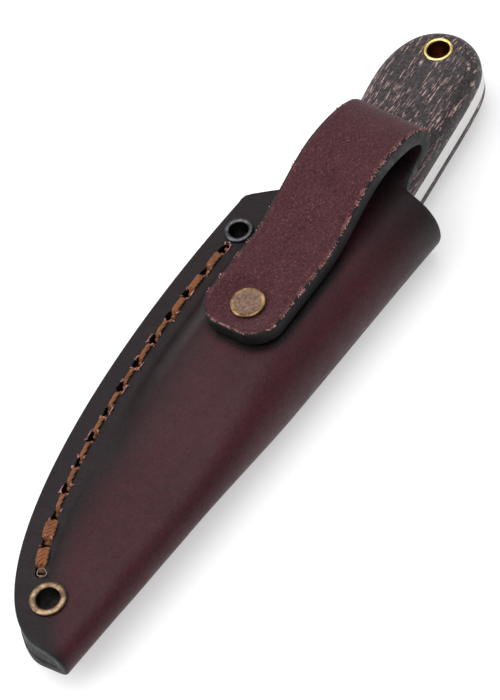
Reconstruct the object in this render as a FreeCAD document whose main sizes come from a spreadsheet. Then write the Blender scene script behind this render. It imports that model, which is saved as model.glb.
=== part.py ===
"""Whittling knife in a folded leather pouch sheath with a belt loop.

Row frame, millimetres: +X runs along the fold of the sheath towards the butt of the handle (the
direction in which the knife is drawn), +Y towards the stitched seam and the cutting edge, +Z up
through the belt loop. The origin is at the bottom centre of the bounding box.

The layout frame used by the sketches is the row frame shifted so that the press stud's axis is
x = 0, y = 0. Every body's Placement moves it from the layout frame into the row frame.
"""
import FreeCAD, Part
import Sketcher
import math
import os
import re

Vector = FreeCAD.Vector
SHEET = "Sizes"

SIZES = [
    # name, value, note
    ("shift_x", -1.43, "layout frame to row frame"),
    ("shift_y", -4.22, "layout frame to row frame"),
    ("mid_height", 10.2, "height of the sheath's mid-plane above the ground"),
    ("leather", 2.8, "thickness of the sheath leather"),
    ("welt_thickness", 3.0, "thickness of the welt in the seam"),
    ("sheath_crest", 10.3, "half height of the sheath over the handle"),
    ("sheath_end_x", -90.0, "cut end of the sheath at the blade's tip"),
    ("mouth_x", 45.2, "mouth of the sheath beside the fold"),
    ("fold_y", -18.4, "outside of the fold"),
    ("fold_lean", 0.9, "how far the fold leans in at the mouth"),
    ("tip_crest", 4.3, "half height of the sheath at its cut end"),
    ("blade_crest", 5.2, "half height of the sheath over the blade"),
    ("fold_depth", 9.0, "depth of the rounded fold over the handle"),
    ("seam_centre_x", 28.5, "centre of the elliptical seam edge"),
    ("seam_centre_y", -11.0, "centre of the elliptical seam edge"),
    ("seam_rise", 37.7, "minor radius of the elliptical seam edge"),
    ("flat_margin", 9.2, "flat margin of the seam"),
    ("shoulder", 18.2, "seam edge to the edge of the raised crest"),
    ("seam_offset", 5.6, "stitch line to the seam edge"),
    ("stitch_pitch", 7.1, "one stitch to the next"),
    ("stitch_slit", 2.4, "length of the awl slit between two stitches"),
    ("thread_width", 1.1, "width of the flat waxed thread"),
    ("thread_thickness", 0.6, "height of a stitch above the leather"),
    ("thread_clearance", 0.1, "how much narrower the thread is than its slits"),
    ("thread_sink", 0.05, "ends of the thread's legs below the top of the stitches"),
    ("crossing_sink", 0.5, "crossing of the thread below each face of the welt"),
    ("strap_width", 20.0, "belt strap and its tongue"),
    ("strap_angle", 3.5, "strap against the fold, degrees"),
    ("strap_end", 8.2, "press stud axis to the rounded end of the strap"),
    ("strap_end_radius", 7.0, "corner radius of the strap's end"),
    ("strap_gap", 0.3, "strap above the panel when it is closed"),
    ("loop_gap", 7.4, "belt gap under the strap at its bend"),
    ("bend_start", 53.3, "press stud axis to the start of the bend"),
    ("loop_flat", 42.0, "where the strap starts to come down to the panel"),
    ("loop_foot", 15.0, "where the strap meets the panel"),
    ("flap_split", 0.1, "gap between strap and bend at the living hinge"),
    ("tongue_sink", 0.05, "how much thinner the tongue is than the panel, on each face"),
    ("blade_thickness", 4.0, "blade and tang stock"),
    ("blade_tip_x", -73.0, "tip of the blade"),
    ("blade_spine_y", -11.2, "back of the blade"),
    ("blade_edge_y", 6.0, "cutting edge where it is straight"),
    ("bevel_width", 8.0, "height of the ground bevel"),
    ("scale_thickness", 5.0, "each handle scale"),
    ("scale_round", 4.0, "rounding of the scales' outer edges"),
    ("pin_radius", 2.5, "handle pins"),
    ("front_pin_x", 4.0, "front handle pin"),
    ("front_pin_y", 0.4, "front handle pin"),
    ("rear_pin_x", 38.0, "rear handle pin"),
    ("rear_pin_y", 2.6, "rear handle pin"),
    ("tube_x", 85.4, "lanyard tube"),
    ("tube_y", 11.5, "lanyard tube"),
    ("tube_radius", 3.65, "lanyard tube, outside"),
    ("tube_bore", 2.7, "lanyard tube, inside"),
    ("tube_proud", 0.15, "lanyard tube above the scales"),
    ("upper_eyelet_x", 19.7, "upper eyelet"),
    ("upper_eyelet_y", 20.9, "upper eyelet"),
    ("upper_flange", 3.5, "upper eyelet, flange radius"),
    ("upper_barrel", 2.7, "upper eyelet, barrel outside"),
    ("upper_bore", 2.3, "upper eyelet, inside"),
    ("lower_eyelet_x", -79.9, "lower eyelet"),
    ("lower_eyelet_y", -5.8, "lower eyelet"),
    ("lower_flange", 4.25, "lower eyelet, flange radius"),
    ("lower_barrel", 3.05, "lower eyelet, barrel outside"),
    ("lower_bore", 2.65, "lower eyelet, inside"),
    ("flange_height", 0.8, "rolled flange of an eyelet"),
    ("flange_round", 0.35, "rounding of a rolled flange"),
    ("washer_height", 0.5, "washer under an eyelet's rolled end"),
    ("cap_radius", 4.2, "press stud cap"),
    ("cap_height", 0.9, "press stud cap above the strap"),
    ("cap_round", 0.45, "rolled rim of the cap"),
    ("cap_shank", 1.5, "cap shank radius"),
    ("socket_radius", 4.0, "press stud socket, outside"),
    ("socket_bore", 2.7, "press stud socket, inside"),
    ("socket_height", 1.7, "press stud socket"),
    ("socket_plate", 0.4, "plate of the socket under the cap's shank"),
    ("stud_base", 4.0, "press stud base radius"),
    ("stud_base_height", 0.5, "press stud base, let into the panel"),
    ("stud_knob", 2.2, "press stud knob radius"),
    ("stud_knob_height", 1.3, "press stud knob above the panel"),
    ("knob_cover", 0.4, "metal over the post inside the knob"),
    ("post_radius", 1.5, "stud post radius"),
    ("post_room", 0.1, "room over the post inside the knob"),
    ("post_head", 4.0, "stud post head radius, inside the sheath"),
    ("post_head_height", 0.7, "stud post head"),
    ("recess_margin", 0.05, "recess in the leather round a let-in piece"),
]

# The mouth: end of the seam edge, middle and end of the rounded corner, then the slanted stretch.
SEAM_END_X = 26.8
SEAM_CORNER_MID = (29.1, 26.5)
SEAM_CORNER = (30.4, 25.2)
MOUTH_SHOULDER = (34.6, 20.3)
MOUTH_BULGE = (43.6, 4.0)
MOUTH_FOLD_Y = -12.0
# Inner edge of the welt, tip end first: it clears the blade and the handle.
WELT_POINTS = [
    (-76.0, -14.0), (-73.0, -6.0), (-66.0, 1.2), (-52.0, 8.0), (-30.0, 13.2), (0.0, 16.8), (30.0, 18.0),
]
# Plan outline of the handle, round once from the front (layout frame).
HANDLE_POINTS = [
    (-12.0, -2.0), (-8.5, -8.8), (0.0, -11.0), (16.0, -10.9), (34.0, -9.3), (50.0, -7.2), (66.0, -4.5),
    (80.0, -1.9), (88.2, 1.4), (92.6, 9.8), (88.9, 18.8), (79.5, 22.3), (66.0, 20.4), (50.0, 16.3),
    (34.0, 13.0), (16.0, 11.6), (0.0, 9.6), (-8.5, 5.4),
]
# Sections of the sheath, and where its height and its mouth change.
SHEATH_STATIONS = [
    -93.0, -76.0, -72.0, -66.0, -46.0, -40.0, -34.0, -28.0, -22.0, -15.0, -8.0, 24.0, 52.0,
]
ARC_STEPS = 6
TIP_RISE = (-76.0, -66.0)
HANDLE_RISE = (-46.0, -8.0)
FOLD_LEAN_START = -22.0
FLARE_START = 24.0
FLARE = 0.2
NARROWEST_SHOULDER = 3.2
SECTION_END_Y = 36.0
MARGIN_INSET = 0.8
TONGUE_ROOT_X = 33.0
STITCH_SAMPLES = 500
FIRST_SLIT = 13.2
SLIT_COUNT = 14
# Blade: where the belly starts, how far it and the back drop to the tip, and the bevel's largest share.
BLADE_STATIONS = [-2.0, -30.0, -42.0, -50.0, -57.0, -63.0, -67.5, -70.5, -72.4]
BELLY_START_X = -34.0
BELLY_DROP = 15.0
BELLY_POWER = 2.2
SPINE_DROP = 1.6
TIP_TAPER = 0.45
BEVEL_SHARE = 0.6
# Reach of cuts that pass right through, and the extra height of shorter ones.
LARGE = 150.0
FOLD_ROOM = 2.0
TOLERANCE = 0.01

doc = FreeCAD.newDocument("whittling_knife")
sheet = doc.addObject("Spreadsheet::Sheet", SHEET)


def fill_sheet():
    for row, (name, value, note) in enumerate(SIZES, start=1):
        sheet.set(f"A{row}", name)
        sheet.set(f"B{row}", str(value))
        sheet.set(f"C{row}", note)
        sheet.setAlias(f"B{row}", name)
    doc.recompute()


def size(name):
    return float(sheet.get(name))


def qualified(formula):
    """Turn a formula of plain size names into one that reads the spreadsheet's cells."""
    names = {name for name, _, _ in SIZES}
    return re.sub(r"[a-z_]+", lambda word: f"{SHEET}.{word[0]}" if word[0] in names else word[0], formula)


def bind(target, prop, formula):
    target.setExpression(prop, qualified(formula))


def new_body(label, x_formula="", y_formula="", angle_formula=""):
    """A body in the layout frame, or moved to an axis of its own or turned when formulas are given."""
    body = doc.addObject("PartDesign::Body", label)
    body.Label = label
    body.AllowCompound = True
    bind(body, ".Placement.Base.x", "shift_x" + (" + " + x_formula if x_formula else ""))
    bind(body, ".Placement.Base.y", "shift_y" + (" + " + y_formula if y_formula else ""))
    if angle_formula:
        body.Placement.Rotation = FreeCAD.Rotation(Vector(0, 0, 1), 1)
        bind(body, ".Placement.Rotation.Angle", angle_formula)
    return body


def new_sketch(body, name, role, offset_formula="", turn=0.0):
    """A sketch on one of the body's own origin planes, moved along the plane's normal."""
    sketch = body.newObject("Sketcher::SketchObject", name)
    plane = next(item for item in body.Origin.OriginFeatures if item.Role == role)
    sketch.AttachmentSupport = [(plane, "")]
    sketch.MapMode = "FlatFace"
    sketch.AttachmentOffset = FreeCAD.Placement(Vector(), FreeCAD.Rotation(Vector(0, 1, 0), turn))
    if offset_formula:
        bind(sketch, ".AttachmentOffset.Base.z", offset_formula)
    return sketch


def add_polygon(sketch, points):
    for start, end in zip(points, points[1:] + points[:1]):
        sketch.addGeometry(Part.LineSegment(Vector(*start, 0), Vector(*end, 0)))


def spline(points, periodic=False):
    curve = Part.BSplineCurve()
    curve.interpolate([Vector(*point, 0) for point in points], PeriodicFlag=periodic)
    return curve


def add_circle(sketch, x_formula, y_formula, radius_formula):
    """A circle whose centre and radius are bound to the spreadsheet."""
    index = sketch.addGeometry(Part.Circle(Vector(1, 1, 0), Vector(0, 0, 1), 1))
    centre = 3
    for kind, formula in (("DistanceX", x_formula), ("DistanceY", y_formula)):
        constraint = sketch.addConstraint(Sketcher.Constraint(kind, -1, 1, index, centre, 1.0))
        bind(sketch, f"Constraints[{constraint}]", formula)
    constraint = sketch.addConstraint(Sketcher.Constraint("Radius", index, 1.0))
    bind(sketch, f"Constraints[{constraint}]", radius_formula)


def pad(body, sketch, length_formula, midplane=False):
    feature = body.newObject("PartDesign::Pad", f"Pad_{sketch.Name}")
    feature.Profile = sketch
    feature.Midplane = midplane
    bind(feature, "Length", length_formula)
    return feature


def cut_through(body, sketch):
    """Pocket a sketch both ways through the whole body, and make sure that it removed something."""
    before = body.Shape.Volume
    feature = body.newObject("PartDesign::Pocket", f"Pocket_{sketch.Name}")
    feature.Profile = sketch
    feature.Midplane = True
    feature.Length = LARGE
    doc.recompute()
    if body.Shape.Volume >= before:
        raise RuntimeError(f"{feature.Name} cut nothing")
    return feature


def cylinder(body, name, radius_formula, height_formula, z_formula, cut=False):
    """An upright round feature on the body's own axis, added to the body or cut out of it."""
    kind = "SubtractiveCylinder" if cut else "AdditiveCylinder"
    feature = body.newObject(f"PartDesign::{kind}", name)
    plane = next(item for item in body.Origin.OriginFeatures if item.Role == "XY_Plane")
    feature.AttachmentSupport = [(plane, "")]
    feature.MapMode = "FlatFace"
    bind(feature, "Radius", radius_formula)
    bind(feature, "Height", height_formula)
    bind(feature, ".AttachmentOffset.Base.z", z_formula)
    doc.recompute()
    return feature


def round_edges(body, radius_formula, wanted):
    """Fillet the edges of the body's tip for which wanted(edge) is true."""
    tip = body.Tip
    names = [f"Edge{n}" for n, edge in enumerate(tip.Shape.Edges, start=1) if wanted(edge)]
    if not names:
        raise RuntimeError(f"{body.Label} has no such edges")
    fillet = body.newObject("PartDesign::Fillet", f"Fillet_{body.Name}_{len(body.Group)}")
    fillet.Base = (tip, names)
    bind(fillet, "Radius", radius_formula)
    doc.recompute()
    return fillet


def circle_at(radius, height):
    """An edge test: a circle of this radius at this height in the body's own frame."""
    def test(edge):
        same_size = isinstance(edge.Curve, Part.Circle) and abs(edge.Curve.Radius - radius) < TOLERANCE
        return same_size and abs(edge.Curve.Center.z - height) < TOLERANCE
    return test


def level_at(height):
    """An edge test: the whole edge lies at this height in the body's own frame."""
    def test(edge):
        box = edge.BoundBox
        return abs(box.ZMax - height) < TOLERANCE and abs(box.ZMin - height) < TOLERANCE
    return test


# ---------------------------------------------------------------- sheath leather


def smooth_step(x, span):
    share = min(1.0, max(0.0, (x - span[0]) / (span[1] - span[0])))
    return share * share * (3 - 2 * share)


def raised(x, tip, blade, handle):
    """A size that changes from the tip to the blade and from the blade to the handle."""
    return tip + (blade - tip) * smooth_step(x, TIP_RISE) + (handle - blade) * smooth_step(x, HANDLE_RISE)


def seam_y(x):
    """Seam edge of the sheath: a quarter of an ellipse, level beyond its centre."""
    share = (size("seam_centre_x") - min(x, size("seam_centre_x"))) / seam_run()
    return size("seam_centre_y") + size("seam_rise") * math.sqrt(max(0.0, 1 - share * share))


def seam_run():
    return size("seam_centre_x") - size("sheath_end_x")


def half_section(x, inset, margin):
    """Curves of the upper half of a section in (y, z above the mid-plane), from the fold to the margin.

    The inset is 0 for the outside and the leather's thickness for the cavity.
    """
    lean = size("fold_lean") * smooth_step(x, (FOLD_LEAN_START, size("mouth_x")))
    depth = raised(x, size("tip_crest"), size("blade_crest"), size("fold_depth"))
    crest = raised(x, size("tip_crest"), size("blade_crest"), size("sheath_crest")) - inset
    centre_y = size("fold_y") + lean + depth
    flare = FLARE * max(0.0, x - FLARE_START)
    shoulder_y = max(seam_y(x) - size("shoulder") + flare, centre_y + 1)
    margin_y = seam_y(x) - size("flat_margin") + flare
    if inset:
        margin_y -= MARGIN_INSET
    margin_y = max(margin_y, shoulder_y + NARROWEST_SHOULDER)
    arc = []
    slope = []
    for step in range(ARC_STEPS + 1):
        angle = math.pi / 2 * step / ARC_STEPS
        arc.append((centre_y - (depth - inset) * math.cos(angle), crest * math.sin(angle)))
        height = margin + (crest - margin) * math.cos(angle)
        slope.append((shoulder_y + (margin_y - shoulder_y) * step / ARC_STEPS, height))
    return arc, slope


def add_section(sketch, halves):
    """A closed section: the upper half and its mirror image below the mid-plane."""
    middle = size("mid_height")
    arc, slope = halves
    for side in (1, -1):
        upper_arc = [(y, middle + side * z) for y, z in arc]
        upper_slope = [(y, middle + side * z) for y, z in slope]
        end = (SECTION_END_Y, upper_slope[-1][1])
        sketch.addGeometry(spline(upper_arc))
        sketch.addGeometry(Part.LineSegment(Vector(*upper_arc[-1], 0), Vector(*upper_slope[0], 0)))
        sketch.addGeometry(spline(upper_slope))
        sketch.addGeometry(Part.LineSegment(Vector(*upper_slope[-1], 0), Vector(*end, 0)))
    top = (SECTION_END_Y, middle + slope[-1][1])
    bottom = (SECTION_END_Y, middle - slope[-1][1])
    sketch.addGeometry(Part.LineSegment(Vector(*top, 0), Vector(*bottom, 0)))


def sheath_loft(body, name, inset, margin, cut):
    """The sheath's outer form, or its cavity when inset is the leather's thickness."""
    sketches = []
    for number, x in enumerate(SHEATH_STATIONS):
        sketch = new_sketch(body, f"{name}_{number}", "YZ_Plane")
        sketch.AttachmentOffset = FreeCAD.Placement(Vector(0, 0, x), FreeCAD.Rotation())
        add_section(sketch, half_section(x, inset, margin))
        sketches.append(sketch)
    doc.recompute()
    kind = "SubtractiveLoft" if cut else "AdditiveLoft"
    loft = body.newObject(f"PartDesign::{kind}", name)
    loft.Profile = sketches[0]
    loft.Sections = sketches[1:]
    loft.Ruled = True
    doc.recompute()
    return loft


def seam_ellipse():
    centre = Vector(size("seam_centre_x"), size("seam_centre_y"), 0)
    return Part.Ellipse(centre, seam_run(), size("seam_rise"))


def seam_start_angle():
    return math.acos((SEAM_END_X - size("seam_centre_x")) / seam_run())


def seam_edges():
    """Seam edge from the end of the sheath round to the mouth's corner, and the rounded corner."""
    ellipse = seam_ellipse()
    start = ellipse.value(seam_start_angle())
    seam = Part.ArcOfEllipse(ellipse, seam_start_angle(), math.pi)
    corner = Part.Arc(start, Vector(*SEAM_CORNER_MID, 0), Vector(*SEAM_CORNER, 0))
    return [seam, corner]


def add_chain(sketch, points):
    for a, b in zip(points, points[1:]):
        sketch.addGeometry(Part.LineSegment(Vector(*a, 0), Vector(*b, 0)))


def add_sheath_outline(sketch):
    """Plan outline of the sheath: seam edge, cut end, fold side and mouth."""
    end_x = size("sheath_end_x")
    mouth_x = size("mouth_x")
    beyond_fold = size("fold_y") - FOLD_ROOM
    for edge in seam_edges():
        sketch.addGeometry(edge)
    add_chain(sketch, [(end_x, size("seam_centre_y")), (end_x, beyond_fold), (mouth_x, beyond_fold),
                       (mouth_x, MOUTH_FOLD_Y)])
    sketch.addGeometry(spline([(mouth_x, MOUTH_FOLD_Y), MOUTH_BULGE, MOUTH_SHOULDER, SEAM_CORNER]))


def stitch_points():
    """Centres of the awl slits at equal steps along the stitch line, with its direction at each."""
    ellipse = seam_ellipse()
    line = []
    for step in range(STITCH_SAMPLES + 1):
        angle = seam_start_angle() + (math.pi - seam_start_angle()) * step / STITCH_SAMPLES
        tangent = ellipse.tangent(angle)[0]
        line.append(ellipse.value(angle) + size("seam_offset") * Vector(-tangent.y, tangent.x, 0))
    found = []
    travelled = -FIRST_SLIT
    for start, end in zip(line, line[1:]):
        length = (end - start).Length
        wanted = size("stitch_pitch") * len(found)
        if travelled + length >= wanted and len(found) < SLIT_COUNT:
            direction = (end - start).normalize()
            found.append((start + direction * (wanted - travelled), direction))
        travelled += length
    return found


def add_slot(sketch, centre, direction, length, width):
    """A slot with round ends; length is between the centres of its ends."""
    side = Vector(-direction.y, direction.x, 0) * width / 2
    along = direction * length / 2
    corners = [centre - along + side, centre + along + side, centre + along - side, centre - along - side]
    tip = direction * width / 2
    sketch.addGeometry(Part.LineSegment(corners[0], corners[1]))
    sketch.addGeometry(Part.Arc(corners[1], centre + along + tip, corners[2]))
    sketch.addGeometry(Part.LineSegment(corners[2], corners[3]))
    sketch.addGeometry(Part.Arc(corners[3], centre - along - tip, corners[0]))


def cut_slits(body):
    sketch = new_sketch(body, f"slits_{body.Name}", "XY_Plane", "mid_height")
    for centre, direction in stitch_points():
        add_slot(sketch, centre, direction, size("stitch_slit"), size("thread_width"))
    doc.recompute()
    cut_through(body, sketch)


def cut_eyelets(body):
    sketch = new_sketch(body, f"eyelet_holes_{body.Name}", "XY_Plane", "mid_height")
    for eyelet in ("upper", "lower"):
        add_circle(sketch, f"{eyelet}_eyelet_x", f"{eyelet}_eyelet_y", f"{eyelet}_barrel")
    doc.recompute()
    cut_through(body, sketch)


def make_sheath_leather():
    body = new_body("sheath_leather")
    sheath_loft(body, "outer_form", 0.0, size("welt_thickness") / 2 + size("leather"), cut=False)
    sheath_loft(body, "cavity", size("leather"), size("welt_thickness") / 2, cut=True)
    around = new_sketch(body, "around_outline", "XY_Plane", "mid_height")
    add_polygon(around, [(-LARGE, -LARGE), (LARGE, -LARGE), (LARGE, LARGE), (-LARGE, LARGE)])
    add_sheath_outline(around)
    doc.recompute()
    cut_through(body, around)
    ground = body.newObject("PartDesign::SubtractiveBox", "ground_trim")
    ground.Length = 2 * LARGE
    ground.Width = 2 * LARGE
    ground.Height = LARGE
    ground.Placement = FreeCAD.Placement(Vector(-LARGE, -LARGE, -LARGE), FreeCAD.Rotation())
    doc.recompute()
    add_tongue(body)
    cut_slits(body)
    cut_eyelets(body)
    cut_stud_seat(body)
    return body


def add_tongue(body):
    """The tongue that runs from the top panel over the handle and bends back above it."""
    x = size("bend_start")
    z = size("mid_height") + size("sheath_crest") + size("loop_gap") / 2
    inner = size("loop_gap") / 2 + size("tongue_sink")
    outer = size("loop_gap") / 2 + size("leather") - size("tongue_sink")
    profile = new_sketch(body, "tongue_side", "XZ_Plane", turn=size("strap_angle"))
    low, high = z - outer, z + outer
    corners = [
        (TONGUE_ROOT_X, z - inner), (x, z - inner), (x, z + inner), (x, high), (x, low), (TONGUE_ROOT_X, low),
    ]
    points = [Vector(*corner, 0) for corner in corners]
    profile.addGeometry(Part.LineSegment(points[0], points[1]))
    profile.addGeometry(Part.Arc(points[1], Vector(x + inner, z, 0), points[2]))
    profile.addGeometry(Part.LineSegment(points[2], points[3]))
    profile.addGeometry(Part.Arc(points[3], Vector(x + outer, z, 0), points[4]))
    profile.addGeometry(Part.LineSegment(points[4], points[5]))
    profile.addGeometry(Part.LineSegment(points[5], points[0]))
    before = body.Shape.Volume
    pad(body, profile, "strap_width", midplane=True)
    doc.recompute()
    if body.Shape.Volume <= before:
        raise RuntimeError("the tongue did not join the panel")


def cut_stud_seat(body):
    """Recesses for the press stud's base and for the head of its post."""
    panel = "mid_height + sheath_crest"
    cylinder(body, "stud_hole", "post_radius", "leather + 1", panel + " - leather - 0.5", cut=True)
    cylinder(body, "stud_recess", "stud_base + recess_margin", "stud_base_height + 1",
             panel + " - stud_base_height", cut=True)
    cylinder(body, "post_recess", "post_head + recess_margin", "post_head_height + 1",
             panel + " - leather - 1", cut=True)


def make_welt():
    body = new_body("welt")
    sketch = new_sketch(body, "welt_outline", "XY_Plane", "mid_height")
    end_x = size("sheath_end_x")
    for edge in seam_edges():
        sketch.addGeometry(edge)
    sketch.addGeometry(spline(WELT_POINTS))
    add_chain(sketch, [WELT_POINTS[-1], MOUTH_SHOULDER, SEAM_CORNER])
    add_chain(sketch, [(end_x, size("seam_centre_y")), (end_x, WELT_POINTS[0][1]), WELT_POINTS[0]])
    pad(body, sketch, "welt_thickness", midplane=True)
    doc.recompute()
    cut_slits(body)
    cut_eyelets(body)
    return body


def make_seam_thread():
    """One thread: flat stitches on both faces, legs through the slits and a crossing in each slit."""
    body = new_body("seam_thread")
    slits = stitch_points()
    reach = size("stitch_slit")
    width = size("thread_width") - size("thread_clearance")
    surface = size("welt_thickness") / 2 + size("leather")
    legs = new_sketch(body, "legs", "XY_Plane", "mid_height")
    crossings = new_sketch(body, "crossings", "XY_Plane", "mid_height")
    for centre, direction in slits:
        for side in (-1, 1):
            spot = centre + direction * side * reach / 2
            legs.addGeometry(Part.Circle(spot, Vector(0, 0, 1), width / 2))
        add_slot(crossings, centre, direction, reach, width)
    legs_length = "welt_thickness + 2 * leather + 2 * thread_thickness - 2 * thread_sink"
    pad(body, legs, legs_length, midplane=True)
    pad(body, crossings, "welt_thickness - 2 * crossing_sink", midplane=True)
    for name, formula in (("upper_stitches", "mid_height + welt_thickness / 2 + leather"),
                          ("lower_stitches", "mid_height - welt_thickness / 2 - leather - thread_thickness")):
        sketch = new_sketch(body, name, "XY_Plane", formula)
        for (a, along_a), (b, along_b) in zip(slits, slits[1:]):
            start = a + along_a * reach / 2
            end = b - along_b * reach / 2
            add_slot(sketch, (start + end) / 2, (end - start).normalize(), (end - start).Length, width)
        pad(body, sketch, "thread_thickness")
    doc.recompute()
    return body


# ---------------------------------------------------------------- eyelets


def make_eyelet(side):
    """A rolled eyelet: flange on top, barrel through all layers, end set over the washer."""
    body = new_body(f"{side}_eyelet", f"{side}_eyelet_x", f"{side}_eyelet_y")
    stack = "welt_thickness + 2 * leather"
    bottom = "mid_height - welt_thickness / 2 - leather - washer_height"
    cylinder(body, f"{side}_barrel_tube", f"{side}_barrel", stack + " + washer_height", bottom)
    cylinder(body, f"{side}_flange_disc", f"{side}_flange", "flange_height",
             "mid_height + welt_thickness / 2 + leather")
    cylinder(body, f"{side}_bore_hole", f"{side}_bore", stack + " + 4", bottom + " - 1", cut=True)
    top = size("mid_height") + size("welt_thickness") / 2 + size("leather") + size("flange_height")
    rims = (circle_at(size(f"{side}_flange"), top), circle_at(size(f"{side}_bore"), top))
    round_edges(body, "flange_round", lambda edge: rims[0](edge) or rims[1](edge))
    return body


def make_eyelet_washer(side):
    body = new_body(f"{side}_eyelet_washer", f"{side}_eyelet_x", f"{side}_eyelet_y")
    bottom = "mid_height - welt_thickness / 2 - leather - washer_height"
    cylinder(body, f"{side}_washer_disc", f"{side}_flange", "washer_height", bottom)
    cylinder(body, f"{side}_washer_hole", f"{side}_barrel", "washer_height + 2", bottom + " - 1", cut=True)
    return body


# ---------------------------------------------------------------- press stud and belt strap


def make_snap_stud():
    body = new_body("snap_stud")
    panel = "mid_height + sheath_crest"
    cylinder(body, "stud_base_disc", "stud_base", "stud_base_height", panel + " - stud_base_height")
    cylinder(body, "stud_knob_disc", "stud_knob", "stud_knob_height", panel)
    cylinder(body, "stud_bore", "post_radius", "stud_base_height + stud_knob_height - knob_cover",
             panel + " - stud_base_height", cut=True)
    knob_top = size("mid_height") + size("sheath_crest") + size("stud_knob_height")
    round_edges(body, "flange_round", circle_at(size("stud_knob"), knob_top))
    return body


def make_snap_stud_post():
    body = new_body("snap_stud_post")
    inside = "mid_height + sheath_crest - leather"
    cylinder(body, "post_head_disc", "post_head", "post_head_height", inside)
    length = "leather + stud_knob_height - post_head_height - knob_cover - post_room"
    cylinder(body, "post_shank", "post_radius", length, inside + " + post_head_height")
    return body


def strap_underside():
    """The closed strap's underside from its end to the bend, as (distance along it, height)."""
    crest = size("mid_height") + size("sheath_crest")
    panel = crest + size("strap_gap")
    raised = crest + size("loop_gap")
    end = -size("strap_end")
    bend = size("bend_start") - size("flap_split")
    return [(end, panel), (size("loop_foot"), panel), (size("loop_flat"), raised), (bend, raised)]


def make_belt_strap():
    body = new_body("belt_strap", angle_formula="strap_angle")
    profile = new_sketch(body, "strap_side", "XZ_Plane")
    under = strap_underside()
    over = [(x, z + size("leather")) for x, z in under]
    for end, foot, flat, bend in (under, over):
        profile.addGeometry(Part.LineSegment(Vector(*end, 0), Vector(*foot, 0)))
        profile.addGeometry(eased(foot, flat))
        profile.addGeometry(Part.LineSegment(Vector(*flat, 0), Vector(*bend, 0)))
    for place in (0, -1):
        profile.addGeometry(Part.LineSegment(Vector(*under[place], 0), Vector(*over[place], 0)))
    pad(body, profile, "strap_width", midplane=True)
    doc.recompute()
    round_edges(body, "strap_end_radius", is_end_corner)
    under_face = "mid_height + sheath_crest + strap_gap"
    cylinder(body, "socket_recess", "socket_radius + recess_margin", "socket_height + 1", under_face + " - 1",
             cut=True)
    cylinder(body, "cap_hole", "cap_shank", "leather + 2", under_face + " - 1", cut=True)
    return body


def eased(start, end):
    """A smooth S from one level to another, level at both ends."""
    curve = Part.BezierCurve()
    (x_start, z_start), (x_end, z_end) = start, end
    middle = (x_start + x_end) / 2
    curve.setPoles([Vector(x_start, z_start, 0), Vector(middle, z_start, 0), Vector(middle, z_end, 0),
                    Vector(x_end, z_end, 0)])
    return curve.toBSpline()


def is_end_corner(edge):
    """An upright edge at the strap's free end."""
    box = edge.BoundBox
    upright = box.XLength < TOLERANCE and box.YLength < TOLERANCE
    return upright and abs(edge.CenterOfMass.x + size("strap_end")) < TOLERANCE


def make_snap_socket():
    body = new_body("snap_socket")
    under_face = "mid_height + sheath_crest + strap_gap"
    cylinder(body, "socket_disc", "socket_radius", "socket_height", under_face)
    cylinder(body, "socket_mouth", "socket_bore", "socket_height - socket_plate + 1", under_face + " - 1",
             cut=True)
    return body


def make_snap_cap():
    body = new_body("snap_cap")
    top = "mid_height + sheath_crest + strap_gap + leather"
    cylinder(body, "cap_disc", "cap_radius", "cap_height", top)
    cylinder(body, "cap_shank_pin", "cap_shank", "leather - socket_height",
             top + " - leather + socket_height")
    heights = ("mid_height", "sheath_crest", "strap_gap", "leather", "cap_height")
    round_edges(body, "cap_round", circle_at(size("cap_radius"), sum(size(name) for name in heights)))
    return body


# ---------------------------------------------------------------- knife


def blade_section(x):
    """Half section of the blade at x: back, start of the bevel, cutting edge and half thickness."""
    tip_x = size("blade_tip_x")
    run = max(0.0, (x - BELLY_START_X) / (tip_x - BELLY_START_X))
    edge_y = size("blade_edge_y") - BELLY_DROP * run ** BELLY_POWER
    spine_y = size("blade_spine_y") + SPINE_DROP * run ** 2
    half = size("blade_thickness") / 2 * (1 - TIP_TAPER * run ** 2)
    bevel = min(size("bevel_width"), BEVEL_SHARE * (edge_y - spine_y))
    return spine_y, edge_y - bevel, edge_y, half


def make_knife_blade():
    """Full-tang blade: ground blade lofted along its length, and a flat tang with the handle's outline."""
    body = new_body("knife_blade")
    tang = new_sketch(body, "tang_outline", "XY_Plane", "mid_height")
    tang.addGeometry(spline(HANDLE_POINTS, periodic=True))
    pad(body, tang, "blade_thickness", midplane=True)
    sections = []
    for number, x in enumerate(BLADE_STATIONS):
        spine_y, bevel_y, edge_y, half = blade_section(x)
        middle = size("mid_height")
        sketch = new_sketch(body, f"blade_{number}", "YZ_Plane")
        sketch.AttachmentOffset = FreeCAD.Placement(Vector(0, 0, x), FreeCAD.Rotation())
        add_polygon(sketch, [(spine_y, middle - half), (bevel_y, middle - half), (edge_y, middle),
                             (bevel_y, middle + half), (spine_y, middle + half)])
        sections.append(sketch)
    doc.recompute()
    loft = body.newObject("PartDesign::AdditiveLoft", "ground_blade")
    loft.Profile = sections[0]
    loft.Sections = sections[1:]
    loft.Ruled = True
    doc.recompute()
    cut_handle_holes(body)
    return body


def cut_handle_holes(body):
    sketch = new_sketch(body, f"handle_holes_{body.Name}", "XY_Plane", "mid_height")
    add_circle(sketch, "front_pin_x", "front_pin_y", "pin_radius")
    add_circle(sketch, "rear_pin_x", "rear_pin_y", "pin_radius")
    add_circle(sketch, "tube_x", "tube_y", "tube_radius")
    doc.recompute()
    cut_through(body, sketch)


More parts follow.
